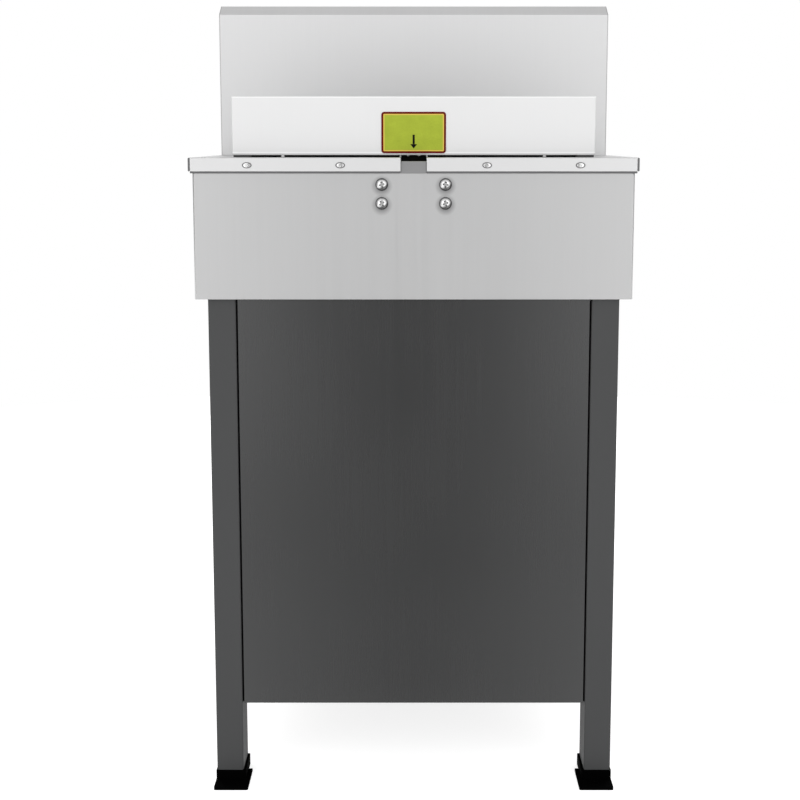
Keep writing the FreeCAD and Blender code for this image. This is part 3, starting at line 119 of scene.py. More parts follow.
class Shader:
    """Builds the node tree of one material or world."""

    def __init__(self, owner: bpy.types.Material | bpy.types.World) -> None:
        """Empties the owner's node tree.

        Args:
            owner: The material or world to build in.
        """
        owner.use_nodes = True
        self.tree = owner.node_tree
        self.tree.nodes.clear()

    def node(self, kind: str, settings: Mapping[str, object], inputs: Inputs) -> bpy.types.Node:
        """Adds a node, sets its settings and then its sockets.

        Args:
            kind: The node's type, without the ShaderNode that each starts with.
            settings: Its own settings.
            inputs: Values or wires by socket name or number.

        Returns:
            The new node.
        """
        made = self.tree.nodes.new(f"ShaderNode{kind}")
        for key, value in settings.items():
            setattr(made, key, value)
        for key, value in inputs.items():
            socket = made.inputs[key]
            if isinstance(value, Wire):
                self.tree.links.new(value.socket, socket)
            elif socket.type == "RGBA":
                socket.default_value = (*value, 1.0)
            else:
                socket.default_value = value
        return made

    def wire(self, kind: str, settings: Mapping[str, object], inputs: Inputs,
             output: str | int = 0) -> Wire:
        """Adds a node and returns one of its outputs."""
        return Wire(self, self.node(kind, settings, inputs).outputs[output])

    def wires(self, kind: str, inputs: Inputs, *outputs: str) -> list[Wire]:
        """Adds a node and returns several of its outputs."""
        made = self.node(kind, {}, inputs)
        return [Wire(self, made.outputs[name]) for name in outputs]

    def math(self, operation: str, *values: Wire | float) -> Wire:
        """Returns a Math node's result."""
        return self.wire("Math", {"operation": operation}, dict(enumerate(values)))

    def least(self, *values: Wire | float) -> Wire:
        """Returns the smallest of some values."""
        return functools.reduce(functools.partial(self.math, "MINIMUM"), values)

    def most(self, *values: Wire | float) -> Wire:
        """Returns the largest of some values."""
        return functools.reduce(functools.partial(self.math, "MAXIMUM"), values)

    def clamped(self, value: Wire) -> Wire:
        """Returns the value kept between 0 and 1."""
        return self.least(self.most(value, 0.0), 1.0)

    def within(self, depth: Wire) -> Wire:
        """Returns 1 where a depth is above 0 and 0 where it is below, with a soft edge."""
        return self.clamped(depth * (1 / EDGE_BLUR) + 0.5)

    def length(self, across: Wire, up: Wire) -> Wire:
        """Returns the length of a line that goes so far across and so far up."""
        return self.math("SQRT", across * across + up * up)

    def place(self) -> list[Wire]:
        """Returns X, Y and Z on the object in metres."""
        at = self.wire("TexCoord", {}, {}, "Object")
        return self.wires("SeparateXYZ", {0: at}, "X", "Y", "Z")

    def vector(self, x: Wire | float, y: Wire | float, z: Wire | float) -> Wire:
        """Returns three values as one vector."""
        return self.wire("CombineXYZ", {}, {0: x, 1: y, 2: z})

    def noise(self, at: Wire, detail: float, scale: float = 1.0) -> Wire:
        """Returns a soft random pattern from about -0.25 to 0.25."""
        return self.wire("TexNoise", {}, {"Vector": at, "Scale": scale, "Detail": detail}) - 0.5

    def scaled(self, colour: Colour | Wire, amount: Wire) -> Wire:
        """Returns a colour made lighter or darker."""
        return self.wire("VectorMath", {"operation": "SCALE"}, {0: colour, "Scale": amount})

    def mixed(self, share: Wire, base: Colour | Wire, other: Colour | Wire) -> Wire:
        """Returns the base colour where share is 0 and the other where it is 1."""
        return self.wire("Mix", {"data_type": "RGBA"}, {0: share, 6: base, 7: other}, 2)

    def bump(self, height: Wire, depth: float, strength: float) -> Wire:
        """Returns a normal with fine relief, whose depth is in metres."""
        return self.wire("Bump", {}, {"Height": height, "Distance": depth, "Strength": strength})

    def surface(self, **inputs: object) -> None:
        """Ends the tree in a Principled shader; spaces in socket names are underscores."""
        named = {key.replace("_", " "): value for key, value in inputs.items()}
        self.end(self.wire("BsdfPrincipled", {}, named))

    def end(self, surface: Wire) -> None:
        """Ends a material's tree in a shader."""
        self.node("OutputMaterial", {}, {"Surface": surface})


# Finishes


class Finish(Protocol):
    """A finish that can draw itself in a shader."""

    name: str

    def draw(self, shader: Shader) -> None:
        """Builds the finish."""


class Axis(Enum):
    """An axis of the frame."""

    X = 0
    Y = 1
    Z = 2


@dataclass(frozen=True)
class FoldLight:
    """A line of painted highlight or painted shade along a sheet's fold, on both sides of the
    middle: its place, half its width, and how much it lightens the tone, or darkens it where below
    0.
    """

    axis: Axis
    reach: float
    half: float
    painted_light: float


@dataclass(frozen=True)
class ScrewShadow:
    """A painted shadow round a pair of screws left and right: where they sit, its radii and its
    depth.
    """

    reach: float
    level: float
    inner: float
    outer: float
    depth: float


@dataclass(frozen=True)
class GrainedMetal:
    """Brushed or ground metal: fine and broad streaks one way, faint clouds and a little relief.

    The broad streaks' scale is a share of the fine ones' across and along.
    """

    name: str
    colour: Colour
    roughness: float
    across: Axis = Axis.X
    metallic: float = 1.0
    streak_width: float = 0.0011
    streak_length: float = 0.16
    contrast: float = 0.05
    cloud: float = 0.03
    specular: float = 0.5
    roughness_swing: float = 0.16
    fold_lights: tuple[FoldLight, ...] = ()
    screw_shadows: tuple[ScrewShadow, ...] = ()
    relief: float = 0.000012
    relief_strength: float = 0.6
    broad_scale: Point = (0.12, 0.3)
    cloud_scale: Point = (5.0, 3.0)
    fine_share: float = 0.7
    broad_share: float = 0.6
    cloud_haze: float = 0.1

    def draw(self, shader: Shader) -> None:
        """Builds the finish.

        Args:
            shader: The shader to build it in.
        """
        place = shader.place()
        axes = list(place)
        over = axes.pop(self.across.value)
        along = axes[0] + axes[1]
        wide, long = 1 / self.streak_width, 1 / self.streak_length
        broad_wide, broad_long = wide * self.broad_scale[0], long * self.broad_scale[1]
        fine, broad, cloud = (
            shader.noise(shader.vector(over * across, along * down, cut), detail)
            for across, down, cut, detail in ((wide, long, 0.0, 2.0),
                                              (broad_wide, broad_long, 3.0, 2.0),
                                              (*self.cloud_scale, 7.0, 3.0)))
        streak = fine * self.fine_share + broad * self.broad_share
        tone = 1.0 + streak * (2 * self.contrast) + cloud * (2 * self.cloud)
        # Painted highlights and painted shade: the tone is raised or lowered in a band along each
        # fold.
        for fold in self.fold_lights:
            off = abs(abs(place[fold.axis.value]) - fold.reach)
            tone = tone + shader.within(fold.half - off) * fold.painted_light
        # Painted shadow: the tone darkens round each pair of screws.
        for screw_shadow in self.screw_shadows:
            off = shader.length(abs(place[0]) - screw_shadow.reach, place[2] - screw_shadow.level)
            share = shader.clamped((screw_shadow.outer - off) * (1 / (screw_shadow.outer - screw_shadow.inner)))
            tone = tone - share * screw_shadow.depth
        haze = streak * self.roughness_swing + cloud * self.cloud_haze
        shader.surface(
            Base_Color=shader.scaled(self.colour, tone), Metallic=self.metallic,
            Roughness=shader.clamped(self.roughness + haze), Specular_IOR_Level=self.specular,
            Normal=shader.bump(fine, self.relief, self.relief_strength))


@dataclass(frozen=True)
class Skin:
    """A surface with broad patches and a fine grain, for which each pair holds a number in turn.

    The pairs are their finer layers, their scale and what they do to the tone and the roughness.
    """

    name: str
    colour: Colour
    roughness: float
    layers: Point
    scale: Point
    tone: Point
    haze: Point
    relief: float
    relief_strength: float
    lightness: float = 1.0
    metallic: float = 0.0
    specular: float = 0.5
    coat: float = 0.0
    opacity: float | None = None
    opacity_swing: float = 0.05
    shaded_side: Place | None = None
    shade_from: float = 0.14
    shade_rise: float = 5.0
    shade_depth: float = 0.66

    def draw(self, shader: Shader) -> None:
        """Builds the finish, with painted shade where it faces the shaded side.

        Args:
            shader: The shader to build it in.
        """
        at = shader.vector(*shader.place())
        patches, grain = (shader.noise(at, detail, scale)
                          for detail, scale in zip(self.layers, self.scale))
        tone = self.lightness + patches * self.tone[0] + grain * self.tone[1]
        haze = patches * self.haze[0] + grain * self.haze[1]
        extra = {}
        if self.opacity is not None:
            extra["Alpha"] = shader.clamped(self.opacity + patches * self.opacity_swing)
        # Painted shade: the tone darkens where the surface faces the shaded side, as on the domed
        # heads.
        if self.shaded_side:
            normal = shader.wire("NewGeometry", {}, {}, "Normal")
            facing = shader.wire("VectorMath", {"operation": "DOT_PRODUCT"},
                                 {0: normal, 1: self.shaded_side}, "Value")
            painted_shade = shader.clamped((facing - self.shade_from) * self.shade_rise)
            tone = tone - painted_shade * self.shade_depth
        shader.surface(
            Base_Color=shader.scaled(self.colour, tone), Metallic=self.metallic,
            Roughness=shader.clamped(self.roughness + haze), Specular_IOR_Level=self.specular,
            Coat_Weight=self.coat,
            Normal=shader.bump(grain, self.relief, self.relief_strength), **extra)


@dataclass(frozen=True)
class Moulding(Skin):
    """Moulded plastic or rubber with a fine leathery skin."""

    layers: Point = (3.0, 2.0)
    scale: Point = (22.0, 1 / 0.0006)
    tone: Point = (0.12, 0.06)
    haze: Point = (0.16, 0.0)
    relief: float = 0.00002
    relief_strength: float = 0.5


@dataclass(frozen=True)
class Plating(Skin):
    """Bright zinc or nickel plate with handling haze and faint tool marks."""

    layers: Point = (4.0, 1.0)
    scale: Point = (260.0, 2400.0)
    tone: Point = (0.18, 0.0)
    haze: Point = (0.22, 0.0)
    relief: float = 0.000008
    relief_strength: float = 0.4
    metallic: float = 1.0


@dataclass(frozen=True)
class Casting(Skin):
    """Painted iron casting: a sandy skin under satin paint, with oil-darkened patches."""

    layers: Point = (4.0, 3.0)
    scale: Point = (14.0, 620.0)
    tone: Point = (0.3, 0.1)
    haze: Point = (0.25, 0.0)
    relief: float = 0.00012
    relief_strength: float = 0.7
    lightness: float = 0.97


@dataclass(frozen=True)
class ClearSheet(Skin):
    """Clear acrylic sheet: its faces are see-through, and dust gathers in faint clouds."""

    layers: Point = (5.0, 2.0)
    scale: Point = (9.0, 60.0)
    tone: Point = (0.05, 0.0)
    haze: Point = (0.0, 0.08)
    relief: float = 0.00001
    relief_strength: float = 0.2


@dataclass(frozen=True)
class DarkGlass(Skin):
    """A display's dark window, a little smeared."""

    layers: Point = (4.0, 4.0)
    scale: Point = (70.0, 70.0)
    tone: Point = (0.4, 0.0)
    haze: Point = (0.1, 0.0)
    relief: float = 0.000005
    relief_strength: float = 0.2
    coat: float = 0.5


@dataclass(frozen=True)
class MarkerPrint:
    """The back gauge's printed plate: a dark border, a yellow-green field and an arrow."""

    name: str
    level: float = 0.908
    half_width: float = 0.0435
    half_height: float = 0.0275
    corner: float = 0.004
    border: float = 0.0027
    inner_edge: float = 0.0016
    border_colour: Colour = (0.13, 0.006, 0.005)
    edge_colour: Colour = (0.72, 0.52, 0.10)
    field_colour: Colour = (0.385, 0.46, 0.046)
    arrow_colour: Colour = (0.004, 0.004, 0.004)
    arrow_top: float = 0.9052
    arrow_neck: float = 0.8926
    arrow_tip: float = 0.8868
    arrow_head_half: float = 0.0046
    arrow_shaft_half: float = 0.0015
    roughness: float = 0.38
    specular: float = 0.05
    dot_share: float = 0.2
    cloud_share: float = 0.3
    cloud_haze: float = 0.2
    relief: float = 0.00001
    relief_strength: float = 0.3

    def draw(self, shader: Shader) -> None:
        """Builds the finish; what lies past the plate's outline is above 0, what lies inside below.

        Args:
            shader: The shader to build it in.
        """
        x, _, z = shader.place()
        past_x = abs(x) - (self.half_width - self.corner)
        past_z = abs(z - self.level) - (self.half_height - self.corner)
        rounding = shader.length(shader.most(past_x, 0.0), shader.most(past_z, 0.0))
        past = rounding + shader.least(shader.most(past_x, past_z), 0.0) - self.corner
        slope = self.arrow_head_half / (self.arrow_neck - self.arrow_tip)
        shaft = shader.least(self.arrow_shaft_half - abs(x), self.arrow_top - z,
                             z - self.arrow_neck)
        head = shader.least((z - self.arrow_tip) * slope - abs(x), self.arrow_neck - z)
        flat = shader.vector(x, 0.0, z)
        dots = shader.noise(flat, detail=3.0, scale=420.0)
        cloud = shader.noise(flat, detail=2.0, scale=60.0)
        tone = 1.0 + dots * self.dot_share + cloud * self.cloud_share
        colour = shader.scaled(self.field_colour, tone)
        for depth, other in ((past + (self.border + self.inner_edge), self.edge_colour),
                             (past + self.border, self.border_colour),
                             (shader.most(shaft, head), self.arrow_colour)):
            colour = shader.mixed(shader.within(depth), colour, other)
        shader.surface(
            Base_Color=colour, Roughness=shader.clamped(self.roughness + cloud * self.cloud_haze),
            Specular_IOR_Level=self.specular,
            Normal=shader.bump(dots, self.relief, self.relief_strength))


# The head sheet has a painted dark line of shade along its side folds.
HEAD_SHEET = GrainedMetal("head_brushed_sheet", (0.705, 0.705, 0.708), 0.66, contrast=0.04,
                          metallic=0.6, fold_lights=(FoldLight(Axis.X, 0.2944, 0.0007, -0.34),))
# The body sheet has a painted highlight along its side folds, and painted shadow round its four
# screws.
BODY_SHEET = GrainedMetal("body_brushed_sheet", (0.426, 0.426, 0.428), 0.46,
                          fold_lights=(FoldLight(Axis.X, 0.2944, 0.0008, 0.4),),
                          screw_shadows=(ScrewShadow(0.0425, 0.8375, 0.0075, 0.0145, 0.42),
                                 ScrewShadow(0.0425, 0.8125, 0.0075, 0.0145, 0.42)))
BODY_SIDE_SHEET = GrainedMetal("body_side_brushed_sheet", (0.440, 0.440, 0.442), 0.46, Axis.Y)
HEAD_SIDE_SHEET = GrainedMetal("head_side_brushed_sheet", (0.695, 0.695, 0.698), 0.6, Axis.Y,
                               contrast=0.04, metallic=0.5)
TABLE_SHEET = GrainedMetal("table_satin_sheet", (0.592, 0.592, 0.594), 0.55, Axis.Y,
                           contrast=0.025, cloud=0.02)
# The gauge sheet has painted highlights along its top and bottom folds and a painted shade band just
# under the bottom one.
GAUGE_SHEET = GrainedMetal("gauge_satin_sheet", (0.745, 0.745, 0.747), 0.5,
                           contrast=0.012, cloud=0.012, metallic=0.2,
                           fold_lights=(FoldLight(Axis.Z, 0.9552, 0.0009, 0.16),
                                  FoldLight(Axis.Z, 0.8814, 0.0009, 0.16),
                                  FoldLight(Axis.Z, 0.8788, 0.0013, -0.2)))
STAND_SHEET = GrainedMetal("stand_dark_sheet", (0.0615, 0.062, 0.0625), 0.27,
                           contrast=0.025, cloud=0.04, metallic=0.85, roughness_swing=0.05)
STAND_SIDE_SHEET = GrainedMetal("stand_side_dark_sheet", (0.062, 0.0625, 0.063), 0.5, Axis.Y,
                                contrast=0.03, cloud=0.04, metallic=0.2, specular=0.25)
POST_PAINT = GrainedMetal("post_dark_paint", (0.062, 0.063, 0.064), 0.6,
                          contrast=0.05, cloud=0.05, metallic=0.1, specular=0.25)
GROUND_X = GrainedMetal("ground_steel_crosswise", (0.56, 0.57, 0.58), 0.3, Axis.X,
                        streak_width=0.0005, streak_length=0.03, contrast=0.09)
GROUND_Y = GrainedMetal("ground_steel_lengthwise", (0.56, 0.57, 0.58), 0.3, Axis.Y,
                        streak_width=0.0005, streak_length=0.05, contrast=0.09)
GROUND_Z = GrainedMetal("ground_steel_level", (0.6, 0.61, 0.62), 0.24, Axis.Z,
                        streak_width=0.0005, streak_length=0.05, contrast=0.08)
ZINC = Plating("zinc_plate", (0.60, 0.60, 0.60), 0.24)
# The domed heads' zinc has painted shade on the side that faces down and towards +X.
DOME_ZINC = Plating("shaded_zinc_plate", (0.56, 0.56, 0.56), 0.24,
                    shaded_side=(0.4, 0.0, -0.92), shade_depth=0.78)
NICKEL = Plating("nickel_plate", (0.66, 0.65, 0.62), 0.2)
IRON = Casting("grey_casting", (0.20, 0.22, 0.24), 0.5)
BLACK_IRON = Casting("blackened_casting", (0.004, 0.004, 0.004), 0.7, specular=0.1)
MOTOR_PAINT = Casting("motor_satin_paint", (0.10, 0.16, 0.24), 0.38, relief=0.00005)
RUBBER = Moulding("boot_rubber", (0.0008, 0.0008, 0.0008), 0.85, specular=0.01)
# A dark rubber for the strips, caps and rings that paint shade.
SHADE_RUBBER = Moulding("grey_shade_rubber", (0.15, 0.15, 0.152), 0.65, specular=0.2)
# The grey of the sheet that paints the shade in the lip's slot.
SLOT_SHADE = Moulding("slot_shade_plastic", (0.255, 0.255, 0.258), 0.6, specular=0.25)
# Black for the strip that paints the shade under the gauge's cover.
GAP_SHADE = Moulding("black_gap_shade", (0.002, 0.002, 0.002), 0.95, relief=0.0002, specular=0.0)
DARK_GLIDE = Moulding("dark_glide_plastic", (0.05, 0.05, 0.051), 0.6, specular=0.3)
BLACK_PLASTIC = Moulding("black_moulding", (0.018, 0.018, 0.019), 0.42)
PALE_KEY = Moulding("pale_key", (0.62, 0.63, 0.64), 0.4, relief=0.00001)
PANEL_GREY = Moulding("control_panel_film", (0.10, 0.11, 0.12), 0.36, relief=0.00001)
STICK_RED = Moulding("cutting_stick_plastic", (0.55, 0.08, 0.06), 0.5)
GREEN = Moulding("green_button", (0.02, 0.27, 0.07), 0.3, relief=0.00001)
RED = Moulding("red_button", (0.58, 0.018, 0.014), 0.3, relief=0.00001)
YELLOW = Moulding("yellow_ring", (0.78, 0.52, 0.03), 0.36, relief=0.00001)
DIGIT_GREEN = Moulding("display_green", (0.16, 0.62, 0.26), 0.4, relief=0.00001)
WHITE_MARK = Moulding("white_mark", (0.82, 0.82, 0.80), 0.45, relief=0.00001)
ACRYLIC = ClearSheet("clear_guard_sheet", (0.80, 0.87, 0.88), 0.058, opacity=0.2)
GLASS = DarkGlass("display_window", (0.012, 0.016, 0.018), 0.07)
MARKER = MarkerPrint("marker_print")


# Meshes


def placed(name: str, data: bpy.types.ID) -> bpy.types.Object:
    """Puts a mesh, lamp or camera into the scene.

    Args:
        name: The object's name.
        data: What it shows.

    Returns:
        The object.
    """
    made = bpy.data.objects.new(name, data)
    bpy.context.scene.collection.objects.link(made)
    return made


def bend(before: Point, here: Point, after: Point, radius: float, steps: int = 6,
         inset: float = 0.0) -> list[Point]:
    """Rounds one corner of a line.

    Args:
        before: The line's point before the corner.
        here: The corner.
        after: The point after it.
        radius: The corner's radius.
        steps: How many straight pieces make it.
        inset: How much nearer to the rounding's centre its points lie.

    Returns:
        The points that take the corner's place.
    """
    corner = Vector(here)
    back = (Vector(before) - corner).normalized()
    ahead = (Vector(after) - corner).normalized()
    half = math.acos(back.dot(ahead)) / 2
    centre = corner + (back + ahead).normalized() * (radius / math.sin(half))
    start = (corner + back * (radius / math.tan(half)) - centre) * (1 - inset / radius)
    sweep = math.copysign(math.pi - 2 * half, ahead.cross(back))
    return [tuple(centre + Matrix.Rotation(sweep * step / steps, 2) @ start)
            for step in range(steps + 1)]


class Form:
    """A closed mesh under construction, in millimetres in the row frame."""

    def __init__(self) -> None:
        """Starts empty."""
        self.mesh = bmesh.new()

    def block(self, low: Place, high: Place, edge: float = 0.0, steps: int = 2,
              mirrors: Sequence[Axis] = ()) -> None:
        """Adds a block with rounded edges, and its images on the other side of the middle.

        Args:
            low: One corner.
            high: The corner opposite.
            edge: The edge radius.
            steps: How many faces make an edge.
            mirrors: The axes along which it has an image.
        """
        for signs in itertools.product(*(SIDES if axis in mirrors else (1,) for axis in Axis)):
            start, stop = Vector(low) * Vector(signs), Vector(high) * Vector(signs)
            size = [abs(length) for length in stop - start]
            matrix = Matrix.Translation((start + stop) / 2) @ Matrix.Diagonal((*size, 1))
            made = bmesh.ops.create_cube(self.mesh, size=1.0, matrix=matrix)
            if edge:
                edges = {line for vertex in made["verts"] for line in vertex.link_edges}
                bmesh.ops.bevel(self.mesh, geom=list(edges), offset=edge, segments=steps,
                                profile=0.5, affect="EDGES")

    def loft(self, rings: Sequence[Sequence[Place]]) -> None:
        """Adds a solid through rings of points, closed at both ends.

        Args:
            rings: The rings in turn, all of the same length.
        """
        made = [[self.mesh.verts.new(place) for place in ring] for ring in rings]
        for one, other in zip(made, made[1:]):
            for index in range(len(one)):
                self.mesh.faces.new((one[index - 1], one[index], other[index], other[index - 1]))
        self.mesh.faces.new(made[0])
        self.mesh.faces.new(made[-1])

    def prism(self, outline: Sequence[Point], axis: Axis, low: float, high: float,
              edge: float = 0.0) -> None:
        """Adds a straight prism, with a chamfer round its second end if edge is given.

        Args:
            outline: Its points in turn, along the frame's other two axes.
            axis: The axis that it is raised along.
            low: Where it starts.
            high: Where it ends.
            edge: The chamfer's size.
        """
        middle = sum((Vector(point) for point in outline), Vector((0, 0))) / len(outline)
        near = high - math.copysign(edge, high - low)
        levels = [(low, 0.0), (near, 0.0), (high, edge)] if edge else [(low, 0.0), (high, 0.0)]
        rings = []
        for level, inset in levels:
            ring = []
            for point in outline:
                arm = Vector(point) - middle
                place = list(middle + arm * (1 - inset / max(arm.length, inset)))
                place.insert(axis.value, level)
                ring.append(place)
            rings.append(ring)
        self.loft(rings)

    def plate(self, low: Point, high: Point, start: float, stop: float, corner: float = 2.0,
              edge: float = 0.4) -> None:
        """Adds an upright plate with rounded corners and a chamfered face.

        Args:
            low: Its lower corner's X and Z.
            high: Its upper corner's.
            start: The Y of its back.
            stop: The Y of its face.
            corner: The corners' radius.
            edge: The chamfer's size.
        """
        corners = [low, (high[0], low[1]), high, (low[0], high[1])]
        outline = []
        for index, here in enumerate(corners):
            outline += bend(corners[index - 1], here, corners[(index + 1) % 4], corner)
        self.prism(outline, Axis.Y, start, stop, edge)

    def turned(self, profile: Sequence[Point], centre: Place, direction: Place,
               sectors: int = 48, looped: bool = False) -> None:
        """Adds a turned shape.

        Args:
            profile: Radius and height of its points, from one end to the other.
            centre: Where height 0 lies.
            direction: Which way its axis points.
            sectors: How many faces go round it.
            looped: Whether the profile's end joins its start, as a ring's does.
        """
        spin = Vector(direction).to_track_quat("Z", "Y").to_matrix()
        rings = []
        for radius, height in profile:
            ring = []
            for step in range(sectors if radius > 0 else 1):
                angle = math.tau * step / sectors
                local = Vector((radius * math.cos(angle), radius * math.sin(angle), height))
                ring.append(self.mesh.verts.new(Vector(centre) + spin @ local))
            rings.append(ring)
        if looped:
            rings.append(rings[0])
        for one, other in zip(rings, rings[1:]):
            for step in range(sectors):
                after = (step + 1) % sectors
                corners = [one[step % len(one)], one[after % len(one)],
                           other[after % len(other)], other[step % len(other)]]
                unique = list(dict.fromkeys(corners))
                if len(unique) > 2:
                    self.mesh.faces.new(unique)

    def data(self, name: str, scale: float = 1.0) -> bpy.types.Mesh:
        """Returns the form as a mesh, with its faces turned outwards.

        Args:
            name: The mesh's name.
            scale: How many of its units a millimetre is.

        Returns:
            The mesh.
        """
        bmesh.ops.recalc_face_normals(self.mesh, faces=self.mesh.faces)
        made = bpy.data.meshes.new(name)
        self.mesh.to_mesh(made)
        made.transform(Matrix.Scale(scale, 4))
        return made

    def add(self, other: "Form", place: Matrix) -> None:
        """Adds a copy of another form.

        Args:
            other: The form.
            place: Where it goes.
        """
        data = other.data("copy")
        data.transform(place)
        self.mesh.from_mesh(data)
        bpy.data.meshes.remove(data)

    def carve(self, cutter: "Form") -> None:
        """Cuts another closed form out of this one.

        Args:
            cutter: The other form.
        """
        stock, tool = (placed("stock", form.data("stock")) for form in (self, cutter))
        cut = stock.modifiers.new("cut", "BOOLEAN")
        cut.operation = "DIFFERENCE"
        cut.solver = "EXACT"
        cut.object = tool
        graph = bpy.context.evaluated_depsgraph_get()
        result = bpy.data.meshes.new_from_object(stock.evaluated_get(graph))
        self.mesh.clear()
        self.mesh.from_mesh(result)
        for data in (stock.data, tool.data, result):
            bpy.data.meshes.remove(data)


@dataclass
class Bench:
    """Where pieces are finished: it holds the frame and the materials, and reports each piece."""

    nodes: Mapping[str, bpy.types.Object]
    materials: dict[str, bpy.types.Material] = field(default_factory=dict)
    weld_reach: float = 0.00001
    bevel_faces: int = 2
    bevel_from: float = 40.0

    def material(self, finish: Finish) -> bpy.types.Material:
        """Returns a finish's material, which is built once.

        Args:
            finish: The finish.

        Returns:
            Its material.
        """
        if finish.name not in self.materials:
            made = bpy.data.materials.new(finish.name)
            finish.draw(Shader(made))
            self.materials[finish.name] = made
        return self.materials[finish.name]

    def dress(self, finish: Finish, *names: str, edge: float = 0.0) -> None:
        """Gives CAD nodes a finish and softens their edges.

        Args:
            finish: The finish.
            names: The nodes.
            edge: How wide their edges are rounded, in millimetres.
        """
        for name in names:
            node = self.nodes[name]
            for slot in node.material_slots:
                slot.material = self.material(finish)
            if edge:
                self._soften(node, edge)
            log.info("dressed %s in %s", name, finish.name)

    def _soften(self, node: bpy.types.Object, edge: float) -> None:
        """Rounds a node's sharp edges.

        Args:
            node: The node.
            edge: The width of the rounding in millimetres.
        """
        weld = node.modifiers.new("join_faces", "WELD")
        weld.merge_threshold = self.weld_reach
        bevel = node.modifiers.new("soft_edges", "BEVEL")
        bevel.width = edge * MM
        bevel.segments = self.bevel_faces
        bevel.limit_method = "ANGLE"
        bevel.angle_limit = math.radians(self.bevel_from)
        bevel.harden_normals = True

    def piece(self, form: Form, name: str, finish: Finish, slot: str, body: str = "machine",
              node: str | None = None, sharp: float = 32.0) -> None:
        """Turns a form into an object that rides on a body.

        Args:
            form: The shape.
            name: The object's name.
            finish: Its finish.
            slot: The name of a material slot; not used.
            body: The CAD body it moves with.
            node: The CAD node it stands for, if any.
            sharp: From what angle an edge stays sharp, in degrees.
        """
        data = form.data(name, MM)
        data.shade_smooth()
        data.set_sharp_from_angle(angle=math.radians(sharp))
        data.materials.append(self.material(finish))
        made = placed(name, data)
        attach(made, body)
        if node:
            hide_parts(node)
        log.info("made %s", name)


# Screws


@dataclass(frozen=True)
class ScrewHead:
    """A domed screw head with a cross recess, standing on height 0, and the dark ring round it,
    which paints the shade at the head's edge.

    The recess has a span, a width and a depth, the shank a radius and a length, the ring a width
    and a height. The taper is the recess's scale at its floor and at its overshoot above the head.
    The foot is the share of the radius at the seat, and of the rim where the radius is full.
    """

    radius: float
    rim: float
    height: float
    recess: Place
    shank: Point
    ring: Point | None = None
    ring_finish: Finish = SHADE_RUBBER
    stretch: Point = (1.0, 1.0)
    taper: Point = (0.55, 1.12)
    overshoot: float = 0.5
    foot: Point = (0.97, 0.25)
    fullness: float = 0.75
    dome_steps: int = 8
    ring_inner: float = 0.9
    ring_edge: float = 0.4

    def ring_form(self) -> Form:
        """Builds the ring round one head.

        Returns:
            The ring, its axis along Z.
        """
        made = Form()
        width, top = self.ring
        inner, outer, edge = self.radius * self.ring_inner, self.radius + width, top * self.ring_edge
        made.turned([(inner, 0.0), (outer, 0.0), (outer, top - edge), (outer - edge, top),
                     (inner, top)], (0, 0, 0), UPWARD, looped=True)
        return made

    def form(self) -> Form:
        """Builds one head.

        Returns:
            The head, its axis along Z.
        """
        head = Form()
        shank, length = self.shank
        angles = [math.pi / 2 * step / self.dome_steps for step in range(self.dome_steps)]
        dome = [(self.radius * math.cos(angle) ** self.fullness,
                 self.rim + (self.height - self.rim) * math.sin(angle)) for angle in angles]
        head.turned([(0.0, -length), (shank, -length), (shank, 0.0),
                     (self.radius * self.foot[0], 0.0), (self.radius, self.rim * self.foot[1]),
                     *dome, (0.0, self.height)], (0, 0, 0), UPWARD)
        head.carve(self._cross())
        return head

    def _cross(self) -> Form:
        """Builds the recess's cutter.

        Returns:
            A tapered cross.
        """
        cross = Form()
        span, width, depth = self.recess
        arm, half = span / 2, width / 2
        levels = self.height - depth, self.height + self.overshoot
        corners = [Matrix.Rotation(quarter * math.pi / 2, 2) @ Vector(point)
                   for quarter in range(4) for point in ((arm, -half), (arm, half), (half, half))]
        cross.loft([[(*(corner * scale), level) for corner in corners]
                    for level, scale in zip(levels, self.taper)])
        return cross


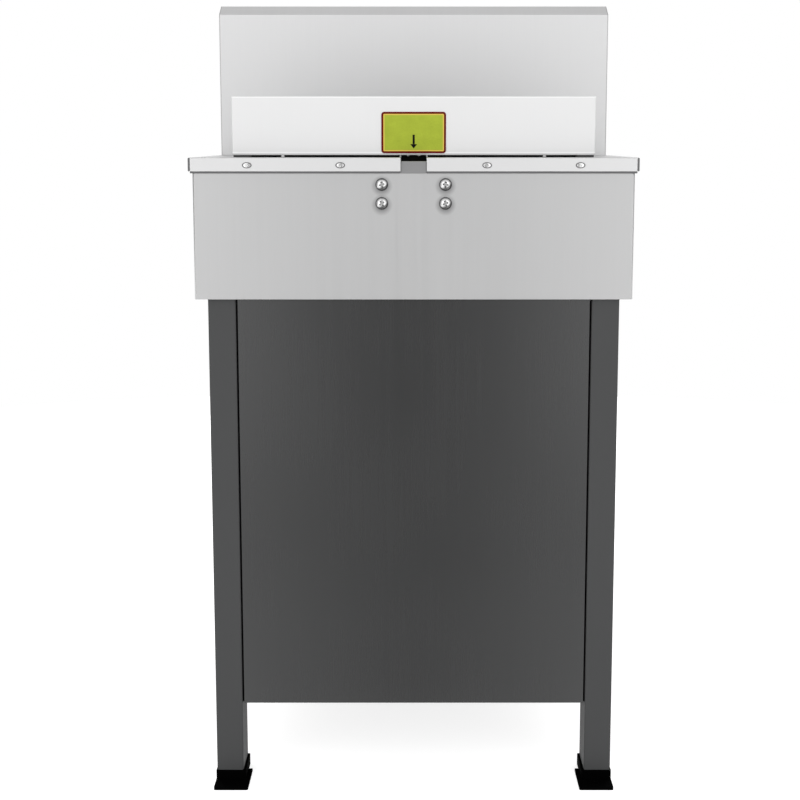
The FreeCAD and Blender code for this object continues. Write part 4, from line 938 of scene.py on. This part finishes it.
@dataclass
class Fasteners:
    """All visible screws, each with its own turn of the recess; a place is that of the right one."""

    bench: Bench
    seed: int = 41
    body_face: float = -360.0
    body_screw_reach: float = 42.5
    body_screw_levels: Point = (814.5, 839.5)
    lip_face: float = 365.0
    lip_screw_reaches: Point = (97.5, 221.5)
    lip_screw_level: float = 865.0
    button_place: Place = (177.0, -319.0, 878.0)
    button_profile: Profile = ((0.0, 0.0), (2.4, 0.0), (3.0, 0.5), (3.0, 2.1), (2.55, 2.7),
                               (0.0, 2.7))
    carriage_bolt: Place = (7.3, -313.0, 877.5)
    # The dark rings round the body and lip heads are painted shade at their edges.
    body_head: ScrewHead = ScrewHead(radius=7.6, rim=1.2, height=5.0, recess=(7.8, 2.1, 2.8),
                                     shank=(4.0, 22.0), ring=(0.8, 1.0), ring_finish=DARK_GLIDE)
    lip_head: ScrewHead = ScrewHead(radius=4.0, rim=0.2, height=0.8, recess=(4.6, 1.3, 0.7),
                                    shank=(2.5, 2.0), ring=(0.9, 0.5), stretch=(1.32, 0.82))
    bolt_head: ScrewHead = ScrewHead(radius=2.2, rim=0.8, height=2.2, recess=(2.4, 0.7, 0.9),
                                     shank=(1.0, 1.0))
    cover_head: ScrewHead = ScrewHead(radius=4.0, rim=0.6, height=1.8, recess=(3.6, 0.9, 1.0),
                                      shank=(2.0, 1.5))
    head_side: float = 295.0
    cover_places: tuple[Point, ...] = ((-6.0, 890.0), (-6.0, 1064.0), (72.0, 1086.0),
                                       (152.0, 1064.0), (152.0, 890.0), (-320.0, 704.0),
                                       (-320.0, 842.0), (0.0, 704.0), (0.0, 842.0),
                                       (320.0, 704.0), (320.0, 842.0))

    def build(self) -> None:
        """Builds the screws of each kind, whose turns are drawn in this order."""
        chance = random.Random(self.seed)
        body = [((side * self.body_screw_reach, self.body_face, level), REARWARD)
                for level in self.body_screw_levels for side in SIDES]
        self._set(self.body_head, DOME_ZINC, body, chance, "body_screw", "machine", "body_screws")
        lip = [((side * reach, end * self.lip_face, self.lip_screw_level), (0, end, 0))
               for end in SIDES for reach in self.lip_screw_reaches for side in SIDES]
        self._set(self.lip_head, ZINC, lip, chance, "lip_screw", "machine", "lip_screws")
        reach, *place = self.carriage_bolt
        bolts = [((side * reach, *place), REARWARD) for side in SIDES]
        self._set(self.bolt_head, ZINC, bolts, chance, "carriage_bolt", "gauge", "gauge_screws")
        covers = [((side * self.head_side, *place), (side, 0, 0))
                  for place in self.cover_places for side in SIDES]
        self._set(self.cover_head, ZINC, covers, chance, "cover_screw", "machine", None)
        self._gauge_buttons()

    def _gauge_buttons(self) -> None:
        """Builds the two levelling buttons under the back gauge's cover."""
        buttons = Form()
        reach, *place = self.button_place
        for side in SIDES:
            buttons.turned(self.button_profile, (side * reach, *place), (0, 0, -1), sectors=32)
        self.bench.piece(buttons, "gauge_buttons", ZINC, "zinc_screw", "gauge", "gauge_screws")

    def _set(self, head: ScrewHead, finish: Finish, places: Sequence[tuple[Place, Place]],
             chance: random.Random, name: str, body: str, node: str | None) -> None:
        """Puts one kind of head in all its places.

        Args:
            head: The kind.
            finish: What the heads are plated with.
            places: Each head's seat and the way it faces.
            chance: The source of each head's turn.
            name: The object's name.
            body: The body it rides on.
            node: The CAD node that it stands for, if any.
        """
        stretch = Matrix.Diagonal((*head.stretch, 1.0, 1.0))
        seats = [Matrix.Translation(Vector(seat))
                 @ Vector(facing).to_track_quat("Z", "Y").to_matrix().to_4x4() @ stretch
                 for seat, facing in places]
        one, heads = head.form(), Form()
        for seat in seats:
            heads.add(one, seat @ Matrix.Rotation(chance.uniform(0, math.pi / 2), 4, "Z"))
        self.bench.piece(heads, f"{name}_heads", finish, "zinc_screw", body, node)
        if head.ring:
            ring, rings = head.ring_form(), Form()
            for seat in seats:
                rings.add(ring, seat)
            self.bench.piece(rings, f"{name}_rings", head.ring_finish, "black_plastic", body)


# Sub-assemblies


@dataclass
class Stand:
    """The cabinet stand with its feet and door; a box is the one at the right front."""

    bench: Bench
    post_edge: float = 0.5
    sheet_edge: float = 0.35
    shade_strip_side: float = 278.8
    shade_strip_end: float = 352.3
    shade_strip_corner: float = 292.0
    shade_strip_levels: Point = (684.8, 686.0)
    shade_strip_thickness: float = 1.0
    shade_strip_edge: float = 0.2
    heel: Box = ((232.0, 316.5, 0.0), (242.0, 327.0, 4.0))
    cheek: Box = ((237.8, 290.8, 0.0), (242.0, 353.0, 17.0))
    lock_place: Place = (208.0, 351.5, 520.0)
    lock_profile: Profile = ((0.0, 2.2), (4.95, 2.2), (5.4, 1.4), (7.65, 1.4), (9.0, 0.9),
                             (9.0, 0.0), (5.4, 0.0), (5.4, -3.0), (0.0, -3.0))
    key_slot: Box = ((207.4, 352.1, 516.8), (208.6, 354.5, 523.2))

    def build(self) -> None:
        """Dresses the stand and adds the dark strip of painted shade under the housing, the boots'
        heels and the door's lock.
        """
        dress = self.bench.dress
        for end, side in itertools.product(("rear", "front"), ("left", "right")):
            dress(POST_PAINT, f"stand_post_{end}_{side}", edge=self.post_edge)
            dress(RUBBER, f"foot_{end}_{side}", edge=0.5)
        dress(STAND_SHEET, "stand_rear_panel", "stand_door", "stand_shelf", edge=self.sheet_edge)
        dress(STAND_SIDE_SHEET, "stand_left_panel", "stand_right_panel")
        dress(GROUND_Z, "door_handle", edge=0.8)
        dress(GROUND_Z, "hinge_pins")
        self._lock()
        self._shade_strips()
        self._heels()

    def _shade_strips(self) -> None:
        """Builds the dark strips that paint the shadow line between the stand and the housing, all
        round.
        """
        shade_strip = Form()
        (low, high), thick, edge = self.shade_strip_levels, self.shade_strip_thickness, self.shade_strip_edge
        side, end, corner = self.shade_strip_side, self.shade_strip_end, self.shade_strip_corner
        shade_strip.block((-side, end - thick, low), (side, end, high), edge, mirrors=[Axis.Y])
        shade_strip.block((side - thick, -corner, low), (side, corner, high), edge, mirrors=[Axis.X])
        self.bench.piece(shade_strip, "stand_shade_strip", BLACK_PLASTIC, "black_plastic")

    def _heels(self) -> None:
        """Builds the rubber heels and cheeks on the inner side of the boots."""
        heels = Form()
        heels.block(*self.heel, edge=0.5, mirrors=[Axis.X, Axis.Y])
        heels.block(*self.cheek, edge=0.8, mirrors=[Axis.X, Axis.Y])
        self.bench.piece(heels, "boot_heels", RUBBER, "foot_rubber")

    def _lock(self) -> None:
        """Builds the door's lock: a plated rosette with a key slot."""
        lock, slot = Form(), Form()
        lock.turned(self.lock_profile, self.lock_place, FORWARD)
        slot.block(*self.key_slot)
        lock.carve(slot)
        self.bench.piece(lock, "door_lock", NICKEL, "ground_steel", "door")


@dataclass
class Housing:
    """The housing under the table with the tables, the bed and the inlet, and dark strips, caps and
    a grey sheet that paint the shade under the table's lip, at its corners and in its slot.
    """

    bench: Bench
    sheet_edge: float = 0.35
    slot_half: float = 17.5
    body_side: float = 295.0
    body_end: float = 360.0
    shade_strip_levels: Point = (854.3, 857.0)
    shade_strip_depth: float = 2.6
    corner_shade_cap: Box = ((297.1, 361.1, 857.0), (299.95, 365.5, 874.6))
    slot_shade_low: Point = (-17.4, 854.3)
    slot_shade_high: Point = (17.4, 869.7)
    slot_shade_depth: float = 1.6

    def build(self) -> None:
        """Dresses the housing and the tables and adds the pieces of painted shade."""
        dress = self.bench.dress
        dress(BODY_SHEET, "body_rear_panel", "body_front_panel", edge=self.sheet_edge)
        dress(BODY_SIDE_SHEET, "body_left_panel", "body_right_panel", "body_floor")
        dress(TABLE_SHEET, "rear_table_left", "rear_table_right", "front_table", edge=0.3)
        dress(GROUND_Y, "cutting_bed", edge=0.4)
        dress(STICK_RED, "cutting_stick", edge=0.4)
        dress(BLACK_PLASTIC, "power_inlet", edge=0.5)
        dress(IRON, "spindle_blocks", edge=0.6)
        dress(GROUND_X, "guide_rods")
        self._shade_strips()
        shade_caps, slot_shade = Form(), Form()
        # Dark caps paint the shade in the open corners of the table's lip.
        shade_caps.block(*self.corner_shade_cap, edge=0.9, steps=3, mirrors=[Axis.X, Axis.Y])
        self.bench.piece(shade_caps, "table_corner_shade_caps", SHADE_RUBBER, "black_plastic")
        # A grey sheet paints the shade on the housing inside the lip's slot.
        slot_shade.plate(self.slot_shade_low, self.slot_shade_high, -self.body_end,
                    -self.body_end - self.slot_shade_depth, corner=1.0)
        self.bench.piece(slot_shade, "slot_shade_sheet", SLOT_SHADE, "grey_plastic")

    def _shade_strips(self) -> None:
        """Builds the dark strips that paint the shadow under the table's lip, open at the slot."""
        shade_strip = Form()
        low, high = self.shade_strip_levels
        side, end = self.body_side, self.body_end
        out_side, out_end = side + self.shade_strip_depth, end + self.shade_strip_depth
        for start, stop in (((self.slot_half, -out_end), (out_side, -end)),
                            ((side, -end), (out_side, end))):
            shade_strip.block((*start, low), (*stop, high), edge=0.5, mirrors=[Axis.X])
        shade_strip.block((-out_side, end, low), (out_side, out_end, high), edge=0.5)
        self.bench.piece(shade_strip, "lip_shade_strip", SHADE_RUBBER, "black_plastic")


@dataclass
class LeadScrew:
    """The lead screw with its cut thread, and the handwheel on its nose."""

    bench: Bench
    level: float = 827.0
    start: float = -357.95
    shoulder: float = 357.9
    tip: float = 386.0
    radius: float = 10.0
    nose_radius: float = 8.0
    lead: float = 10.0
    thread_depth: float = 2.2
    crest: float = 0.35
    flank: float = 0.3
    journal: float = 32.0
    pitch_steps: int = 10
    sectors: int = 20

    def build(self) -> None:
        """Builds the screw and dresses the handwheel."""
        screw = Form()
        step = self.lead / self.pitch_steps
        count = math.ceil((self.shoulder - self.start) / step)
        places = [self.start + index * step for index in range(count)] + [self.shoulder]
        rings = [self._ring(y, [self._thread(y, turn) for turn in range(self.sectors)])
                 for y in places]
        rings += [self._ring(y, [self.nose_radius] * self.sectors)
                  for y in (self.shoulder, self.tip)]
        screw.loft(rings)
        self.bench.piece(screw, "lead_screw_thread", GROUND_X, "ground_steel", "spindle",
                         "lead_screw", sharp=50)
        self.bench.dress(BLACK_PLASTIC, "handwheel", edge=0.6)

    def _ring(self, y: float, radii: Sequence[float]) -> list[Place]:
        """Returns a ring of places round the axis.

        Args:
            y: Its place along the axis.
            radii: The radius in each sector.

        Returns:
            The places.
        """
        angles = [math.tau * turn / self.sectors for turn in range(self.sectors)]
        return [(radius * math.sin(angle), y, self.level + radius * math.cos(angle))
                for radius, angle in zip(radii, angles)]

    def _thread(self, y: float, turn: int) -> float:
        """Returns the screw's radius at a place, which follows the helix.

        Args:
            y: The place along the axis.
            turn: Its sector.

        Returns:
            The radius.
        """
        if not self.start + self.journal < y < self.shoulder - self.journal:
            return self.radius
        phase = (y / self.lead + turn / self.sectors) % 1.0
        share = (abs(phase - 0.5) * 2 - self.crest) / self.flank
        return self.radius - self.thread_depth * max(0.0, min(1.0, share))


@dataclass
class BackGauge:
    """The back gauge with its cover, its marker plate and a black strip under the cover that paints
    the shade in the gap there.
    """

    bench: Bench
    gap_shade: Box = ((19.0, -316.0, 875.3), (219.5, -313.5, 879.3))

    def build(self) -> None:
        """Dresses the gauge and adds the black strip of painted shade under its cover."""
        dress = self.bench.dress
        dress(GAUGE_SHEET, "gauge_cover", edge=0.4)
        dress(GROUND_Z, "gauge_plate", edge=0.5)
        dress(DARK_GLIDE, "gauge_glides", edge=0.4)
        dress(MARKER, "gauge_marker_plate", edge=0.15)
        dress(BLACK_IRON, "gauge_carriage", edge=0.5)
        # A black felt strip paints the shade in the gap under the gauge's cover.
        gap_shade = Form()
        gap_shade.block(*self.gap_shade, edge=0.6, mirrors=[Axis.X])
        self.bench.piece(gap_shade, "gauge_gap_shade", GAP_SHADE, "black_plastic", "gauge")


@dataclass
class Head:
    """The head: its sheets, frames, clamp and knife."""

    bench: Bench
    sheet_edge: float = 0.35

    def build(self) -> None:
        """Dresses the head's nodes."""
        dress = self.bench.dress
        dress(HEAD_SHEET, "head_rear_cover", "head_front_cover", edge=self.sheet_edge)
        dress(HEAD_SIDE_SHEET, "head_left_cover", "head_right_cover")
        dress(IRON, "side_frame_left", "side_frame_right", "upper_crossbeam", edge=0.8)
        dress(IRON, "knife_bar", edge=0.6)
        dress(GROUND_Z, "knife_keepers", "clamp_bar", edge=0.4)
        dress(GROUND_X, "clamp_rods", "clamp_nut_wheel", "pull_rod", "crank_disc", edge=0.3)
        dress(GROUND_X, "knife_blade")
        dress(ZINC, "knife_bolts", edge=0.4)
        dress(MOTOR_PAINT, "gear_motor", edge=0.6)


@dataclass
class Guard:
    """The clear front guard as one bent sheet with two cheeks and a grip rail.

    The profile holds the outer face's end at the hinge, its bend, where it turns upright and its
    foot, each as Y and Z. The heel closes the cheeks' outline at the rear.
    """

    bench: Bench
    hinge: Point = (180.0, 979.0)
    half_width: float = 250.0
    sheet: float = 4.0
    bend_radius: float = 12.0
    profile: Profile = ((175.0, 988.0), (300.0, 964.0), (352.0, 892.0), (352.0, 886.0))
    heel: Profile = ((190.0, 886.0), (175.0, 970.0))
    pin_profile: Profile = ((0.0, -8.0), (3.05, -8.0), (3.05, 8.0), (0.0, 8.0))
    rail: Box = ((-220.0, 345.0, 886.0), (220.0, 348.2, 900.0))

    def build(self) -> None:
        """Builds the bent sheet with its cheeks, and the rail that the hand lifts it by."""
        guard, rail = Form(), Form()
        outer, inner = self._line(0.0), self._line(self.sheet)
        guard.prism(outer + inner[::-1], Axis.X, -self.half_width, self.half_width)
        for side in SIDES:
            cheek, hole = Form(), Form()
            face = side * self.half_width
            cheek.prism([*inner, *self.heel], Axis.X, face - side * self.sheet, face)
            hole.turned(self.pin_profile, (face, *self.hinge), (1, 0, 0), sectors=24)
            cheek.carve(hole)
            guard.add(cheek, Matrix.Identity(4))
        self.bench.piece(guard, "clear_guard", ACRYLIC, "clear_plastic", "guard_cover", "guard")
        rail.block(*self.rail, edge=1.0)
        self.bench.piece(rail, "guard_grip_rail", BLACK_PLASTIC, "black_plastic", "guard_cover")

    def _line(self, inset: float) -> list[Point]:
        """Returns the sheet's line from hinge to foot with its bend rounded.

        Args:
            inset: How far inside the outer face it lies.

        Returns:
            The line's points.
        """
        top, knee, low, foot = self.profile
        return [self._off(top, knee, top, inset),
                *bend(top, knee, low, self.bend_radius, steps=8, inset=inset),
                self._off(low, foot, foot, inset)]

    @staticmethod
    def _off(start: Point, end: Point, at: Point, inset: float) -> Point:
        """Returns a point moved off the line from start to end, to the inside of the guard."""
        along = (Vector(end) - Vector(start)).normalized()
        return at[0] + along.y * inset, at[1] - along.x * inset


@dataclass(frozen=True)
class Numerals:
    """Plain seven-bar numerals that are read from the machine's front."""

    width: float
    height: float
    stroke: float

    def add(self, form: Form, digit: str, middle: Point, low: float, high: float) -> None:
        """Adds one numeral.

        Args:
            form: The form to add it to.
            digit: The numeral, or "-" for a bar.
            middle: Its middle's X and Z.
            low: Where it starts along Y.
            high: Where it ends.
        """
        across, up, half = self.width / 2, self.height / 2, self.stroke / 2
        bars = {"a": (0.0, up, across), "g": (0.0, 0.0, across), "d": (0.0, -up, across),
                "b": (across, up / 2, 0.0), "c": (across, -up / 2, 0.0),
                "e": (-across, -up / 2, 0.0), "f": (-across, up / 2, 0.0)}
        for bar in SEVEN_BARS[digit]:
            right, level, reach = bars[bar]
            half_x = reach - half if reach else half
            half_z = half if reach else up / 2 - half
            x, z = middle[0] - right, middle[1] + level
            form.block((x - half_x, low, z - half_z), (x + half_x, high, z + half_z))


@dataclass
class SideRules:
    """The two steel rules let into the front table, with plain ticks."""

    bench: Bench
    rule: Box = ((263.0, 158.0, 874.8), (275.0, 362.0, 875.25))
    tick_inner: float = 263.3
    tick_start: float = 160.0
    tick_count: int = 41
    tick_levels: Point = (875.23, 875.3)
    pitch: float = 5.0
    short_tick: float = 4.0
    long_tick: float = 7.5
    tick_half: float = 0.25

    def build(self) -> None:
        """Builds the rules and their ticks."""
        rules, ticks = Form(), Form()
        rules.block(*self.rule, edge=0.1, mirrors=[Axis.X])
        low, high = self.tick_levels
        for tick in range(self.tick_count):
            length = self.short_tick if tick % 2 else self.long_tick
            y = self.tick_start + tick * self.pitch
            ticks.block((self.tick_inner, y - self.tick_half, low),
                        (self.tick_inner + length, y + self.tick_half, high), mirrors=[Axis.X])
        self.bench.piece(rules, "side_rules", GROUND_X, "ground_steel")
        self.bench.piece(ticks, "side_rule_ticks", BLACK_PLASTIC, "black_plastic")


@dataclass
class Controls:
    """The buttons with their collars, the mains switch with its marks, and the key panel."""

    bench: Bench
    button_place: Place = (215.0, 360.0, 800.0)
    button_collar: Profile = ((9.2, 0.0), (21.4, 0.0), (21.4, 1.6), (20.0, 3.0), (18.0, 3.6),
                              (17.0, 3.2), (17.0, 0.3), (9.2, 0.3))
    stop_place: Place = (215.0, 168.0, 1045.0)
    stop_ring: Profile = ((23.3, 0.0), (29.0, 0.0), (29.0, 0.8), (28.4, 1.2), (23.3, 1.2))
    stop_collar: Profile = ((9.2, 0.0), (23.2, 0.0), (23.2, 3.2), (22.4, 4.2), (21.4, 4.2),
                            (21.0, 3.8), (21.0, 0.3), (9.2, 0.3))
    on_bar: Box = ((114.3, 359.9, 818.9), (115.7, 360.25, 824.1))
    off_ring: Profile = ((2.0, -0.1), (2.9, -0.1), (2.9, 0.25), (2.0, 0.25))
    off_ring_place: Place = (136.5, 360.0, 800.0)
    panel_low: Point = (-150.0, 992.0)
    panel_high: Point = (40.0, 1072.0)
    panel_levels: Point = (168.0, 169.6)
    window_low: Point = (-138.0, 1034.0)
    window_high: Point = (-68.0, 1060.0)
    window_face: float = 170.4
    shown_levels: Point = (170.3, 170.5)
    key_half: Point = (6.5, 5.0)
    key_pitch: Point = (19.0, 15.5)
    key_start: Point = (-33.0, 1052.0)
    key_face: float = 170.5
    mark_levels: Point = (170.4, 170.55)
    key_rows: tuple[str, ...] = ("0987", "-654", "-321")
    key_numerals: Numerals = Numerals(2.8, 5.2, 0.6)
    shown: str = "0000"
    shown_start: Point = (-80.5, 1047.0)
    shown_pitch: float = 15.0
    shown_numerals: Numerals = Numerals(7.5, 14.0, 1.5)

    def build(self) -> None:
        """Builds and dresses all controls."""
        dress = self.bench.dress
        dress(GREEN, "cut_button_left", "cut_button_right")
        dress(RED, "emergency_stop")
        dress(BLACK_PLASTIC, "power_switch", edge=0.5)
        reach, *place = self.button_place
        self._ring("cut_button_collars", NICKEL, "zinc_screw", self.button_collar,
                   [(side * reach, *place) for side in SIDES], sectors=64)
        self._ring("stop_ring", YELLOW, "marker", self.stop_ring, [self.stop_place])
        self._ring("stop_collar", BLACK_PLASTIC, "black_plastic", self.stop_collar,
                   [self.stop_place])
        marks = Form()
        marks.block(*self.on_bar, edge=0.1)
        marks.turned(self.off_ring, self.off_ring_place, FORWARD, sectors=40, looped=True)
        self.bench.piece(marks, "switch_marks", WHITE_MARK, "black_plastic")
        self._key_panel()
        self._keys()

    def _ring(self, name: str, finish: Finish, slot: str, profile: Profile,
              places: Sequence[Place], sectors: int = 72) -> None:
        """Builds a piece of equal rings that face the machine's front.

        Args:
            name: The piece's name.
            finish: Its finish.
            slot: Its material slot.
            profile: The rings' profile.
            places: Where they sit.
            sectors: How many faces go round each.
        """
        rings = Form()
        for place in places:
            rings.turned(profile, place, FORWARD, sectors, looped=True)
        self.bench.piece(rings, name, finish, slot)

    def _key_panel(self) -> None:
        """Builds the key panel: a film-covered plate and a dark window with its numerals."""
        plate, window, digits = Form(), Form(), Form()
        plate.plate(self.panel_low, self.panel_high, *self.panel_levels, corner=6.0, edge=0.5)
        self.bench.piece(plate, "key_panel", PANEL_GREY, "grey_plastic")
        window.plate(self.window_low, self.window_high, self.panel_levels[1], self.window_face)
        self.bench.piece(window, "display_window", GLASS, "black_plastic")
        x, z = self.shown_start
        for index, digit in enumerate(self.shown):
            self.shown_numerals.add(digits, digit, (x - index * self.shown_pitch, z),
                                    *self.shown_levels)
        self.bench.piece(digits, "display_numerals", DIGIT_GREEN, "black_plastic")

    def _keys(self) -> None:
        """Builds three rows of keys on the panel, and their numerals."""
        keys, marks = Form(), Form()
        half_x, half_z = self.key_half
        for row, digits in enumerate(self.key_rows):
            for column, digit in enumerate(digits):
                x = self.key_start[0] + self.key_pitch[0] * column
                z = self.key_start[1] - self.key_pitch[1] * row
                keys.plate((x - half_x, z - half_z), (x + half_x, z + half_z),
                           self.panel_levels[1], self.key_face)
                self.key_numerals.add(marks, digit, (x, z), *self.mark_levels)
        self.bench.piece(keys, "panel_keys", PALE_KEY, "grey_plastic")
        self.bench.piece(marks, "key_numerals", BLACK_PLASTIC, "black_plastic")


# Camera, floor and light


def coated(data: bpy.types.Mesh, name: str) -> Shader:
    """Gives a mesh a new material.

    Args:
        data: The mesh.
        name: The material's name.

    Returns:
        The shader to build the material in.
    """
    material = bpy.data.materials.new(name)
    data.materials.append(material)
    return Shader(material)


@dataclass(frozen=True)
class Flag:
    """A grey card that shows only in gloss; it can pale outwards from the machine's middle."""

    name: str
    corners: Sequence[Place]
    tone: float
    edge_tone: float = 1.0
    reach: float | None = None

    def build(self) -> None:
        """Builds the card."""
        data = bpy.data.meshes.new(self.name)
        data.from_pydata([Vector(corner) * MM for corner in self.corners], [], [(0, 1, 2, 3)])
        shader = coated(data, self.name)
        colour: Colour | Wire = (self.tone,) * 3
        if self.reach:
            out = shader.clamped(abs(shader.place()[0]) * (1 / (self.reach * MM)))
            colour = shader.mixed(out, colour, (self.edge_tone,) * 3)
        shader.end(shader.wire("Emission", {}, {"Color": colour, "Strength": 1.0}))
        card = placed(self.name, data)
        card.visible_camera = False
        card.visible_diffuse = False
        card.visible_shadow = False
        card.visible_transmission = False


def upright(start: Point, stop: Point, top: float) -> tuple[Place, ...]:
    """Returns the corners of an upright card between two places on the floor."""
    return (*start, 0.0), (*stop, 0.0), (*stop, top), (*start, top)


@dataclass
class Studio:
    """A pale floor, soft boxes and grey cards round the machine, and the camera."""

    camera_place: Place = (0.0, -2524.0, 897.8)
    camera_pitch: float = 9.164
    lens: float = 72.46
    shift_x: float = -0.01709
    floor_radius: float = 3200.0
    floor_colour: Colour = (0.82, 0.82, 0.82)
    floor_glow: float = 0.75
    world_level: float = 0.75
    box_size: Point = (2.1, 2.6)
    box_place: Place = (1.52, 2.75, 1.32)
    box_radiance: float = 1.12
    front_share: float = 0.9
    card_half: float = 470.0
    card_distance: float = 2950.0
    card_height: float = 2600.0
    card_tone: float = 0.1
    card_edge_tone: float = 1.2
    runner_ends: tuple[float, ...] = (600.0, 1350.0, 2950.0)
    runner_halves: tuple[float, ...] = (230.0, 460.0, 950.0)
    runner_tones: tuple[Point, ...] = ((0.73, 1.4), (0.47, 1.12))
    runner_reach: float = 360.0
    side_card_distance: float = 2300.0
    side_card_half: float = 700.0
    side_card_tone: float = 0.12
    ceiling_level: float = 2700.0
    ceiling_half: float = 2000.0
    ceiling_rear: float = -100.0
    ceiling_tone: float = 0.42

    def build(self) -> None:
        """Builds the floor, the light and the camera."""
        self._floor()
        self._world()
        self._lamps()
        self._cards()
        self._camera()

    def _cards(self) -> None:
        """Puts cards behind the camera and opposite it, under them, at both sides and above."""
        half, high = self.card_half, self.card_height
        for name, end in (("rear", -1), ("front", 1)):
            y = end * self.card_distance
            Flag(f"{name}_card", upright((-half, y), (half, y), high), self.card_tone,
                 self.card_edge_tone, half).build()
            rows = [((-wide, end * out, 1.0), (wide, end * out, 1.0))
                    for out, wide in zip(self.runner_ends, self.runner_halves)]
            for near_row, far_row, tones in zip(rows, rows[1:], self.runner_tones):
                Flag(f"{name}_runner", (*near_row, *far_row[::-1]), *tones,
                     self.runner_reach).build()
        span = self.side_card_half
        for name, side in (("left", -1), ("right", 1)):
            x = side * self.side_card_distance
            Flag(f"{name}_card", upright((x, -span), (x, span), high), self.side_card_tone).build()
        wide, top, rear = self.ceiling_half, self.ceiling_level, self.ceiling_rear
        Flag("ceiling_card", ((-wide, rear, top), (wide, rear, top), (wide, wide, top),
                              (-wide, wide, top)), self.ceiling_tone).build()

    @staticmethod
    def _seen(shader: Shader) -> Wire:
        """Returns 1 for rays that show the background itself, straight or in gloss or glass."""
        camera, glossy, through = shader.wires("LightPath", {}, "Is Camera Ray", "Is Glossy Ray",
                                               "Is Transmission Ray")
        return shader.clamped(camera + glossy + through)

    def _floor(self) -> None:
        """Builds the round floor, which keeps the machine's shadow."""
        disc = Form()
        disc.turned([(0.0, 0.0), (self.floor_radius, 0.0)], (0, 0, 0), UPWARD, sectors=96)
        data = disc.data("floor", MM)
        shader = coated(data, "pale_floor")
        matt = shader.wire("BsdfDiffuse", {}, {"Color": self.floor_colour})
        glow = shader.wire("Emission", {}, {"Color": (1.0, 1.0, 1.0),
                                            "Strength": self._seen(shader) * self.floor_glow})
        shader.end(shader.wire("AddShader", {}, {0: matt, 1: glow}))
        placed("floor", data)

    def _world(self) -> None:
        """Lights the scene evenly and shows white behind the machine."""
        world = bpy.data.worlds.new("white_room")
        bpy.context.scene.world = world
        shader = Shader(world)
        strength = self.world_level + self._seen(shader) * (1.0 - self.world_level)
        back = shader.wire("Background", {}, {"Color": (1.0, 1.0, 1.0), "Strength": strength})
        shader.node("OutputWorld", {}, {"Surface": back})

    def _lamps(self) -> None:
        """Puts two upright soft boxes at the rear and two at the front."""
        reach, distance, height = self.box_place
        for end, share in ((-1, 1.0), (1, self.front_share)):
            for side in SIDES:
                lamp = bpy.data.lights.new("soft_box", "AREA")
                lamp.shape = "RECTANGLE"
                lamp.size, lamp.size_y = self.box_size
                lamp.energy = math.pi * math.prod(self.box_size) * self.box_radiance * share
                made = placed("soft_box", lamp)
                made.location = (side * reach, end * distance, height)
                made.rotation_euler = (math.radians(90), 0.0, 0.0 if end < 0 else math.pi)
                made.visible_camera = False

    def _camera(self) -> None:
        """Sets the camera at the photograph's viewing angle."""
        data = bpy.data.cameras.new("camera")
        data.lens = self.lens
        data.shift_x = self.shift_x
        camera = placed("camera", data)
        camera.location = Vector(self.camera_place) * MM
        camera.rotation_euler = (math.radians(90 - self.camera_pitch), 0.0, 0.0)
        bpy.context.scene.camera = camera
        bpy.context.scene.view_settings.view_transform = "Standard"


def main() -> None:
    """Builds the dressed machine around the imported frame."""
    logging.basicConfig(level=logging.INFO, format="%(name)s: %(message)s")
    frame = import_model()
    bench = Bench(frame["nodes"])
    for assembly in (Stand, Housing, LeadScrew, BackGauge, Head, Guard, SideRules, Controls,
                     Fasteners):
        assembly(bench).build()
    Studio().build()


if __name__ == "__main__":
    main()
